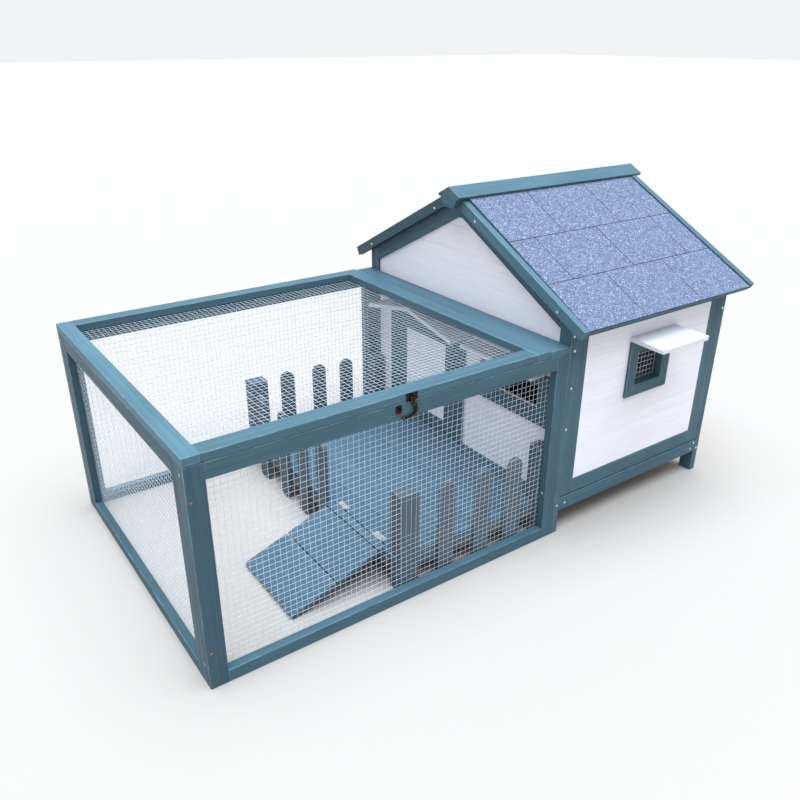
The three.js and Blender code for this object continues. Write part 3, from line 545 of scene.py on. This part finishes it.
def course_pieces(z0, z1, reach, holes):
    """Outlines of one row of boards, cut short by holes given as (u0, u1, v0, v1)."""
    low, high = reach(z0), reach(z1)
    touching = [h for h in holes if h[2] < z1 - 1 and h[3] > z0 + 1]
    if not touching:
        outline = [(low[0], z0), (low[1], z0)]
        if z0 < RAKE_LOW < z1 and low != high:
            outline.append((low[1], RAKE_LOW))
        outline += [(high[1], z1), (high[0], z1)]
        if z0 < RAKE_LOW < z1 and low != high:
            outline.append((low[0], RAKE_LOW))
        return [outline]
    pieces = []
    at = low[0]
    for u0, u1, v0, v1 in sorted(touching):
        pieces.append(rect(at, u0, z0, z1))
        if v0 > z0 + 3:
            pieces.append(rect(u0, u1, z0, v0))
        if v1 < z1 - 3:
            pieces.append(rect(u0, u1, v1, z1))
        at = u1
    pieces.append(rect(at, low[1], z0, z1))
    return pieces


def boarding(name, cad, plane, depth, levels, reach, holes=(), body="coop"):
    """Tongue-and-groove boards laid across, with a fine V at each joint."""
    stock = Stock()
    for z0, z1 in zip(levels, levels[1:]):
        for outline in course_pieces(z0 + 0.1, z1 - 0.1, reach, holes):
            stock.board(plane, outline, depth, 0, 0.7, 0.03)
    return stock.make(name, body, "white_wood", white, cad)


def levels_between(first, low, high):
    inside = [first + BOARD_H * k for k in range(20)]
    return [low] + [z for z in inside if low + 8 < z < high - 3] + [high]


def door_opening():
    """Front edge, rear edge and top of the opening that the pop door stands in."""
    _, (front, rear), (_, top) = span("pop_door_frame")
    return front - DOOR_FRONT_PLAY, rear + DOOR_PLAY, top + DOOR_PLAY


def build_ends():
    end_frame("left_end_timbers", "house_left_end_frame", LEFT_END)
    end_frame("right_end_timbers", "house_right_end_frame", RIGHT_END)
    door_front, door_rear, door_top = door_opening()
    doorway = (door_front, door_rear, 0, door_top)
    window = (*INNER_WINDOW_Y, *INNER_WINDOW_Z)
    levels = levels_between(FIRST_END_JOINT, END_RAIL[1] + FIT, RAKE_PEAK - 6)
    boarding("left_end_boarding", "house_left_end_boards", "yz", span("house_left_end_boards")[0], levels,
             rake_reach, (doorway, window))
    boarding("right_end_boarding", "house_right_end_boards", "yz", span("house_right_end_boards")[0], levels,
             rake_reach)


def build_walls():
    boards_x, boards_y, boards_z = span("front_wall_boards")
    opening = (boards_x[0] - FIT, boards_x[1] + FIT, boards_z[0] - FIT, boards_z[1] + FIT)
    outer = (*WALL_X, *WALL_Z)
    framed("front_wall_timbers", "front_wall_frame", "xz", outer, opening, (0, WALL_T))
    framed("rear_wall_timbers", "rear_wall_frame", "xz", outer, opening, (DEPTH - WALL_T, DEPTH))
    (x0, x1), _, (z0, z1) = span("front_window_trim")
    inset = WINDOW_TRIM_W - LINER_T - FIT
    window = (x0 + inset, x1 - inset, z0 + inset, z1 - inset)
    levels = levels_between(boards_z[0], boards_z[0], boards_z[1])
    boarding("front_wall_boarding", "front_wall_boards", "xz", boards_y, levels,
             lambda z: boards_x, [window])
    boarding("rear_wall_boarding", "rear_wall_boards", "xz", span("rear_wall_boards")[1], levels,
             lambda z: boards_x)
    build_floor()


def build_floor():
    (x0, x1), (y0, y1), (z0, z1) = span("house_floor")
    stock = Stock()
    stock.board("xz", rect(x0, x1, z0, z1), (y0, y0 + WALL_T), 0)
    stock.board("xz", rect(x0, x1, z0, z1), (y1 - WALL_T, y1), 0)
    count = 8
    inner = (y0 + WALL_T + FIT, y1 - WALL_T - FIT)
    width = (inner[1] - inner[0]) / count
    for i in range(count):
        at = inner[0] + i * width
        stock.board("xy", rect(x0, x1, at + 0.2, at + width - 0.2), (z1 - 12, z1), 0)
    stock.make("house_floor_boards", "coop", "stained_wood", stained, "house_floor")


# ---------------------------------------------------------------- windows

MITRE_GAP = 0.25
LINER_BEVEL = 0.6
SHELF_BEVEL = 1.4
WINDOW_WIRE_R = 0.55


def mitred(stock, plane, outer, hole, depth):
    """Picture-frame trim: four boards meeting on the diagonals."""
    (u0, u1, v0, v1), (a0, a1, b0, b1) = outer, hole
    gap = MITRE_GAP
    stock.board(plane, [(u0 + gap, v0), (u1 - gap, v0), (a1 - gap, b0), (a0 + gap, b0)], depth, 0)
    stock.board(plane, [(u0 + gap, v1), (a0 + gap, b1), (a1 - gap, b1), (u1 - gap, v1)], depth, 0)
    stock.board(plane, [(u0, v0 + gap), (a0, b0 + gap), (a0, b1 - gap), (u0, v1 - gap)], depth, 90)
    stock.board(plane, [(u1, v0 + gap), (u1, v1 - gap), (a1, b1 - gap), (a1, b0 + gap)], depth, 90)


def shelf(cad, plane, out, in_, z, depth):
    """A small board that falls a little from its inner edge to its outer one."""
    outline = [(out, z[0]), (in_, z[0] + AWNING_FALL), (in_, z[1]), (out, z[1] - AWNING_FALL)]
    stock = Stock()
    stock.board(plane, outline, depth, "w", SHELF_BEVEL)
    stock.make(f"{cad}_shelf", "coop", "white_wood", shaded_awning_white, cad)


def build_front_window():
    (x0, x1), (y0, y1), (z0, z1) = span("front_window_trim")
    w, t = WINDOW_TRIM_W, LINER_T
    a0, a1, b0, b1 = hole = (x0 + w, x1 - w, z0 + w, z1 - w)
    behind = span("front_wall_boards")[1][0] - FIT
    stock = Stock()
    mitred(stock, "xz", (x0, x1, z0, z1), hole, (y0, behind))
    lining = (behind + 0.1, y1)
    stock.board("xz", rect(a0 - t, a1 + t, b0 - t, b0), lining, 0, LINER_BEVEL)
    stock.board("xz", rect(a0 - t, a1 + t, b1, b1 + t), lining, 0, LINER_BEVEL)
    stock.board("xz", rect(a0 - t, a0, b0, b1), lining, 90, LINER_BEVEL)
    stock.board("xz", rect(a1, a1 + t, b0, b1), lining, 90, LINER_BEVEL)
    stock.make("front_window_boards", "coop", "stained_wood", stained, "front_window_trim")
    wire_panel("front_window_wires", "front_window_mesh", "xz", "coop", 0.0, WINDOW_WIRE_R)
    x, (y0, y1), z = span("front_window_awning")
    shelf("front_window_awning", "yz", y0, y1, z, x)


def build_inner_window():
    (x0, x1), (y0, y1), (z0, z1) = span("inner_window_trim")
    stock = Stock()
    mitred(stock, "yz", (y0, y1, z0, z1), (*INNER_WINDOW_Y, *INNER_WINDOW_Z), (x0, x1))
    stock.make("inner_window_boards", "coop", "stained_wood", stained, "inner_window_trim")
    (x0, x1), y, z = span("inner_window_awning")
    shelf("inner_window_awning", "xz", x0, x1, z, y)


# ---------------------------------------------------------------- pop door

HOOD_T = 11
HOOD_GAP = 0.2


def build_pop_door():
    (x0, x1), (y0, y1), (z0, z1) = span("pop_door_trim")
    door_front, door_rear, door_top = door_opening()
    (hood_x0, hood_x1), (hood_y0, hood_y1), (hood_z0, hood_z1) = span("pop_door_hood")
    middle = (hood_y0 + hood_y1) / 2
    shoulder = z1 - (middle - y0) * (z1 - hood_z0) / (middle - hood_y0)
    stock = Stock()
    stock.board("yz", rect(y0, door_front, z0, door_top), (x0, x1), 90)
    stock.board("yz", rect(door_rear, y1, z0, door_top), (x0, x1), 90)
    gable = [(y0, door_top + FIT), (y1, door_top + FIT), (y1, shoulder), (middle, z1), (y0, shoulder)]
    stock.board("yz", gable, (x0, x1), 0)
    stock.make("pop_door_surround", "coop", "stained_wood", stained, "pop_door_trim")

    roof = Stock()
    inside = middle - HOOD_GAP
    wing = [(hood_y0, hood_z0), (inside, hood_z1 - HOOD_T), (inside, hood_z1), (hood_y0, hood_z0 + HOOD_T)]
    roof.board("yz", wing, (hood_x0, hood_x1), "w", SHELF_BEVEL)
    roof.board("yz", [(2 * middle - y, z) for y, z in wing], (hood_x0, hood_x1), "w", SHELF_BEVEL)
    roof.make("pop_door_roof", "coop", "white_wood", shaded_awning_white, "pop_door_hood")

    (x0, x1), (y0, y1), (z0, z1) = span("pop_door_frame")
    panel_x, panel_y, panel_z = span("pop_door_panel")
    hole = (panel_y[0] - FIT, panel_y[1] + FIT, panel_z[0] - FIT, panel_z[1] + FIT)
    framed("pop_door_timbers", "pop_door_frame", "yz", (y0, y1, z0, z1), hole, (x0, x1), "pop_door")
    boarding("pop_door_boarding", "pop_door_panel", "yz", panel_x, levels_between(FIRST_END_JOINT, *panel_z),
             lambda z: panel_y, (), "pop_door")


# ---------------------------------------------------------------- roof

COURSES = (0, 150.1, 298.1)
TAB_JOINTS = ((1071, 1273), (968, 1174, 1380), (1068, 1270))
ROOF_T = 11
PLANK_TOP = -3.4
PLANKS = 5
UNDERLAY = (-3.2, -2.7)
TAB_UNDER = -2.6
TAB_GAP = 0.6


def build_slope(side, place, body):
    top = (RIDGE_Y - RIDGE_GAP - EAVE_Y) / math.cos(SLOPE)
    x0, x1 = SHINGLE_X
    boards = Stock()
    for i in range(PLANKS):
        low, high = top * i / PLANKS, top * (i + 1) / PLANKS
        boards.board(place, rect(x0, x1, low + 0.2, high - 0.2), (-ROOF_T, PLANK_TOP), 0, 0.8)
    boards.make(f"roof_{side}_planks", body, "stained_wood", stained, f"roof_{side}_board")

    # A near-black sheet under the tabs: painted shade that shows in the gaps between them.
    base = Stock()
    base.board(place, rect(x0, x1, 0.3, top), UNDERLAY, 0, 0.1)
    base.make(f"roof_{side}_underlay", body, "shingle", shade_underlay_felt)

    tabs = Stock()
    ends = [*COURSES[1:], top]
    for low, high, joints in zip(COURSES, ends, TAB_JOINTS):
        edges = [x0, *joints, x1]
        for left, right in zip(edges, edges[1:]):
            lift = rng.uniform(-0.25, 0.0)
            outline = rect(left + TAB_GAP, right - TAB_GAP, low + TAB_GAP, high - TAB_GAP)
            tabs.board(place, outline, (TAB_UNDER, lift), 0, 0.5, 0.05)
    tabs.make(f"roof_{side}_tabs", body, "shingle", shingle_felt, f"roof_{side}_shingles")


# Width, how far the top stands above the shingles' plane at the eave, and rise over run.
BARGES = {
    "barge_front_left": (24.5, 0.8, 0.503),
    "barge_rear_left": (24.5, 2.3, PITCH),
    "barge_front_right": (16, 5, PITCH),
    "barge_rear_right": (16, 5, PITCH),
}
CAP_HALF = 41
CAP_T = 7
# Half width and height above its foot, up one side of the cap's end block.
CAP_BLOCK = ((18, 0), (28, 19), (33, 23.5))


def build_barge(cad, body, front):
    x0, x1 = span(cad)[0]
    width, lift, pitch = BARGES[cad]

    def top(y):
        return EAVE_Z + lift + (y - EAVE_Y) * pitch

    cap_edge = RIDGE_Y - CAP_HALF
    upper = RIDGE_Y - RIDGE_GAP
    outline = [
        (EAVE_Y, top(EAVE_Y)),
        (EAVE_Y + width * math.sin(SLOPE), top(EAVE_Y) - width * math.cos(SLOPE)),
        (upper, top(upper) - width / math.cos(SLOPE)),
    ]
    clear = [(upper, EAVE_Z + (upper - EAVE_Y) * PITCH), (cap_edge, EAVE_Z + (cap_edge - EAVE_Y) * PITCH)]
    if top(cap_edge) > clear[1][1] + 0.2:
        outline += [*clear, (cap_edge, top(cap_edge))]
    else:
        outline.append((upper, top(upper)))
    stock = Stock(LIGHT_AND_SHADE_TONES.get(cad, 0.0))
    grain = GRAIN_RISE if front else -GRAIN_RISE
    stock.board("yz", outline if front else mirror_y(outline), (x0, x1), grain)
    stock.make(f"{cad}_board", body, "stained_wood", stained, cad)


def build_cap():
    (x0, x1), (y0, y1), (z0, peak) = span("ridge_cap")
    half = (y1 - y0) / 2
    edge = peak - half * PITCH
    wing = [(y0, edge), (y0 + CAP_T * math.sin(SLOPE), edge - CAP_T * math.cos(SLOPE)),
            (RIDGE_Y - 0.1, peak - CAP_T / math.cos(SLOPE)), (RIDGE_Y - 0.1, peak)]
    stock = Stock()
    stock.board("yz", wing, (x0, x1), "w", 0.9)
    stock.board("yz", mirror_y(wing), (x0, x1), "w", 0.9)
    inner = peak - CAP_T / math.cos(SLOPE) - 0.2
    foot, *shoulder = [(RIDGE_Y - out, z0 + rise) for out, rise in CAP_BLOCK]
    block = [foot] + [(RIDGE_Y + out, z0 + rise) for out, rise in CAP_BLOCK]
    block += [(RIDGE_Y, inner), *reversed(shoulder)]
    barge_x0 = span("barge_front_left")[0][0]
    barge_x1 = span("barge_front_right")[0][1]
    stock.board("yz", block, (x0, barge_x0 - FIT), 0)
    stock.board("yz", block, (barge_x1 + FIT, x1), 0)
    stock.make("ridge_cap_boards", "roof_panel", "stained_wood", stained, "ridge_cap")


def build_roof():
    build_slope("front", front_slope, "roof_panel")
    build_slope("rear", rear_slope, "coop")
    for cad in ("barge_front_left", "barge_front_right"):
        build_barge(cad, "roof_panel", True)
    for cad in ("barge_rear_left", "barge_rear_right"):
        build_barge(cad, "coop", False)
    build_cap()


# ---------------------------------------------------------------- deck, fences and ramp

FENCE = span("front_fence")
CORNER_POST = (FENCE[0][0], FENCE[0][0] + 50)
WALL_POST = (852, FENCE[0][1])
POST_Y = FENCE[1]
POST_TOP = FENCE[2][1]
WALL_POST_TOP = 235
SIDE_PICKETS = ((577, 242.5), (680.5, 240), (773, 236.5))
END_PICKET_Y = (331, 427, 525, 648)
PICKET_T = 10
PICKET_W = 41
PICKET_FOOT = 6
DECK_BOARD = 85
EDGE_BOARD = 60
FASCIA_T = 16
FASCIA = (51, 79.7)
END_FASCIA = (51, 76)
GATE_X = 456


def picket(centre, top):
    half = PICKET_W / 2
    arc = [(centre + half * math.cos(math.pi * k / 12), top - half + half * math.sin(math.pi * k / 12))
           for k in range(13)]
    return [(centre - half, PICKET_FOOT), (centre + half, PICKET_FOOT), *arc]


def build_side_fence(cad, flip):
    def across(y0, y1):
        return (DEPTH - y1, DEPTH - y0) if flip else (y0, y1)

    y0, y1 = POST_Y
    stock = Stock()
    for post, top in ((CORNER_POST, POST_TOP), (WALL_POST, WALL_POST_TOP)):
        stock.board("xz", rect(*post, 0, top), across(y0, y1), 90, 1.8)
    fascia = rect(CORNER_POST[1] + FIT, WALL_POST[0] - FIT, *FASCIA)
    stock.board("xz", fascia, across(y0 + PICKET_T + FIT, y0 + PICKET_T + FASCIA_T), 0)
    for x, top in SIDE_PICKETS:
        stock.board("xz", picket(x, top), across(y0, y0 + PICKET_T), 90)
    stock.make(f"{cad}_boards", "coop", "deck_wood", fence_shaded_stain, cad)


def build_deck():
    (x0, x1), (y0, y1), (z0, z1) = span("deck_boards")
    joints = [x0] + [CORNER_POST[0] + EDGE_BOARD + DECK_BOARD * k for k in range(5)] + [x1]
    notch = POST_Y[1] + FIT
    stock = Stock()
    for left, right in zip(joints, joints[1:]):
        a, b = left + 0.8, right - 0.8
        if left == x0:
            p, q = CORNER_POST[0] - FIT, CORNER_POST[1] + FIT
            near = [(a, y0), (p, y0), (p, notch), (q, notch), (q, y0), (b, y0)]
            gate = span("ramp")[1]
            outline = near + [(x, DEPTH - y) for x, y in reversed(near)]
            outline += [(a, gate[1] + 1), (GATE_X, gate[1] + 1), (GATE_X, gate[0] - 1), (a, gate[0] - 1)]
        elif right == x1:
            outline = rect(a, b, notch, DEPTH - notch)
        else:
            outline = rect(a, b, y0, y1)
        stock.board("xy", outline, (z0, z1), 90)
    stock.make("deck_planks", "coop", "deck_wood", deck_stain, "deck_boards")
    build_side_fence("front_fence", False)
    build_side_fence("rear_fence", True)

    (x0, x1), (y0, y1), _ = span("end_fence")
    end = Stock()
    end.board("yz", rect(y0, y1, *END_FASCIA), (x0 + PICKET_T, x1), 0)
    for y in END_PICKET_Y:
        end.board("yz", picket(y, POST_TOP), (x0, x0 + PICKET_T - FIT), 90)
    end.make("end_fence_boards", "coop", "deck_wood", fence_shaded_stain, "end_fence")


RAMP_TOP = (451, 93.5)
RAMP_ANGLE = math.asin(0.3264)
RAMP_T = 12
RAMP_BOARDS = ((0, 17.3), (20.3, 131.5), (134.5, 250.9))
BATTEN = (24, 223)
BATTEN_W = 24
BATTEN_T = 8
BATTEN_FRONT = 26
BATTEN_REAR = 50


def ramp_slope(u, v, w):
    """u across the ramp, v down it from the deck, w above its top face."""
    c, s = math.cos(RAMP_ANGLE), math.sin(RAMP_ANGLE)
    return (RAMP_TOP[0] - v * c - w * s, u, RAMP_TOP[1] - v * s + w * c)


def build_ramp():
    y0, y1 = span("ramp")[1]
    stock = Stock()
    for board in RAMP_BOARDS:
        stock.board(ramp_slope, rect(y0, y1, *board), (-RAMP_T, 0), 0)
    for at in (y0 + BATTEN_FRONT, y1 - BATTEN_REAR):
        stock.board(ramp_slope, rect(at, at + BATTEN_W, *BATTEN), (-RAMP_T - BATTEN_T, -RAMP_T - FIT), 90)
    stock.make("ramp_boards", "ramp", "deck_wood", deck_stain, "ramp")


# ---------------------------------------------------------------- fixings

SCREW_R = 3.4
POST_SCREWS = ((7.4, 408), (8.9, 84))
FRONT_SCREWS = ((896.6, 512), (901.7, 477), (903.6, 386), (901, 283), (898, 77),
                (1442.7, 475), (1443.4, 68.5))
SKIRT_SCREWS = ((924, 77), (1416.4, 73), (1428.3, 87.6))
FRONT_BARGE_SCREWS = ((317, 709), (33, 564))
REAR_BARGE_SCREWS = ((473, 715), (760, 568))
POST_SIDE_SCREW = (WALL_POST[0] - 0.1, 10, 124)
END_SCREW_Z = (457, 50)
END_SCREW_IN = 16


def screw_head(stock, centre, normal):
    """Low domed head with a cross recess, on an upright face whose normal is (axis, sign)."""
    sides = 16
    turn = rng.uniform(0, math.pi / 2)
    rings = [(SCREW_R, -0.4), (SCREW_R, 0.1), (SCREW_R * 0.8, 0.5), (SCREW_R * 0.56, 0.62)]
    local = []
    for radius, height in rings:
        for k in range(sides):
            a = 2 * math.pi * k / sides
            local.append((radius * math.cos(a), radius * math.sin(a), height))
    for k in range(sides):
        a = 2 * math.pi * k / sides
        radius = 1.7 if k % 4 == 0 else 0.6
        local.append((radius * math.cos(a), radius * math.sin(a), 0.15))
    faces = [list(reversed(range(sides)))]
    for ring in range(len(rings)):
        for k in range(sides):
            a, b = ring * sides + k, ring * sides + (k + 1) % sides
            faces.append([a, b, b + sides, a + sides])
    faces.append([len(rings) * sides + k for k in range(sides)])
    c, s = math.cos(turn), math.sin(turn)
    axis, sign = normal

    def place(u, v, w):
        p, q = u * c - v * s, u * s + v * c
        x, y, z = centre
        if axis == "x":
            return (x + sign * w, y + p, z + q)
        return (x + p, y + sign * w, z + q)

    stock.solid(local, faces, [0.0] * len(faces), place, 0, 0.0)


def barge_middle(cad, y):
    """Height of the middle of a bargeboard's face at a place across the house."""
    width, lift, pitch = BARGES[cad]
    reach = min(y, DEPTH - y) - EAVE_Y
    return EAVE_Z + lift + reach * pitch - width / 2 / math.cos(SLOPE)


def barge_screws(stock, side, places):
    left, right = f"barge_{side}_left", f"barge_{side}_right"
    for y, z in places:
        screw_head(stock, (span(left)[0][0], y, z), ("x", -1))
        screw_head(stock, (span(right)[0][1], y, barge_middle(right, y)), ("x", 1))


def build_screws():
    fixed = Stock()
    for x, z in FRONT_SCREWS + SKIRT_SCREWS:
        screw_head(fixed, (x, 0, z), ("y", -1))
        screw_head(fixed, (x, DEPTH, z), ("y", 1))
    screw_head(fixed, POST_SIDE_SCREW, ("x", -1))
    for z in END_SCREW_Z:
        for y in (END_SCREW_IN, DEPTH - END_SCREW_IN):
            screw_head(fixed, (0.5, y, z), ("x", -1))
    barge_screws(fixed, "rear", REAR_BARGE_SCREWS)
    fixed.make("coop_screws", "coop", "zinc", zinc)

    post = Stock()
    for x, z in POST_SCREWS:
        screw_head(post, (x, 0, z), ("y", -1))
        screw_head(post, (x, DEPTH, z), ("y", 1))
    post.make("run_post_screws", "coop", "zinc", rusted_zinc)

    panel = Stock()
    barge_screws(panel, "front", FRONT_BARGE_SCREWS)
    panel.make("roof_panel_screws", "roof_panel", "zinc", zinc)


# ---------------------------------------------------------------- CAD nodes kept as they are

KEPT = {
    "zinc": (zinc, ("lid_hinge_left_lid_leaf", "lid_hinge_left_frame_leaf", "lid_hinge_right_lid_leaf",
                    "lid_hinge_right_frame_leaf", "roof_hinge_cap_leaf", "roof_hinge_slope_leaf",
                    "ramp_hinge_front_deck_leaf", "ramp_hinge_front_ramp_leaf", "ramp_hinge_rear_deck_leaf",
                    "ramp_hinge_rear_ramp_leaf")),
    "bronze": (bronze, ("latch_plate", "latch_hook", "latch_catch")),
}


def dress_kept_nodes():
    for material, names in KEPT.values():
        for name in names:
            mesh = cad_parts[name].data
            mesh.materials.clear()
            mesh.materials.append(material)


# ---------------------------------------------------------------- floor, light and camera


FLOOR_HALF = 40.0
FLOOR_COLOUR = (0.368, 0.326, 0.307, 1)
SKY_COLOUR = (0.96, 0.98, 1.0, 1)
SKY_STRENGTH = 0.92
SOFTBOX_ENERGY = 7.0
SOFTBOX_SPREAD = 60
SOFTBOX_COLOUR = (0.78, 0.92, 1.0)
SOFTBOX_TOWARDS = (0.07, 0.12, -1.0)
CAMERA_LENS = 34.95
CAMERA_SHIFT = (0.009, 0.012)
CAMERA_AT = (-340.1, -1080.1, 1102.8)
CAMERA_TURN = (64.289, -0.027, -34.881)


def build_stage():
    floor_mesh = bpy.data.meshes.new("floor")
    half = FLOOR_HALF
    corners = [(-half, -half, 0), (half, -half, 0), (half, half, 0), (-half, half, 0)]
    floor_mesh.from_pydata(corners, [], [(0, 1, 2, 3)])
    floor = bpy.data.objects.new("floor", floor_mesh)
    bpy.context.scene.collection.objects.link(floor)
    material, _, shader = new_material("floor_paper")
    shader.inputs["Base Color"].default_value = FLOOR_COLOUR
    shader.inputs["Roughness"].default_value = 0.9
    floor_mesh.materials.append(material)


def build_light():
    world = bpy.data.worlds.new("studio")
    bpy.context.scene.world = world
    world.use_nodes = True
    sky = world.node_tree.nodes["Background"]
    sky.inputs["Color"].default_value = SKY_COLOUR
    sky.inputs["Strength"].default_value = SKY_STRENGTH
    light = bpy.data.lights.new("softbox", "SUN")
    light.energy = SOFTBOX_ENERGY
    light.angle = math.radians(SOFTBOX_SPREAD)
    light.color = SOFTBOX_COLOUR
    softbox = bpy.data.objects.new("softbox", light)
    softbox.rotation_euler = Vector(SOFTBOX_TOWARDS).to_track_quat("-Z", "Y").to_euler()
    bpy.context.scene.collection.objects.link(softbox)


def build_camera():
    data = bpy.data.cameras.new("camera")
    data.lens = CAMERA_LENS
    data.sensor_width = 36
    data.shift_x, data.shift_y = CAMERA_SHIFT
    data.clip_end = 200
    camera = bpy.data.objects.new("camera", data)
    camera.location = point(*CAMERA_AT)
    camera.rotation_euler = [math.radians(turn) for turn in CAMERA_TURN]
    bpy.context.scene.collection.objects.link(camera)
    bpy.context.scene.camera = camera
    bpy.context.scene.view_settings.view_transform = "Standard"


build_camera()
build_light()
build_stage()
build_run()
build_lid()
build_ends()
build_walls()
build_front_window()
build_inner_window()
build_pop_door()
build_roof()
build_deck()
build_ramp()
build_screws()
dress_kept_nodes()
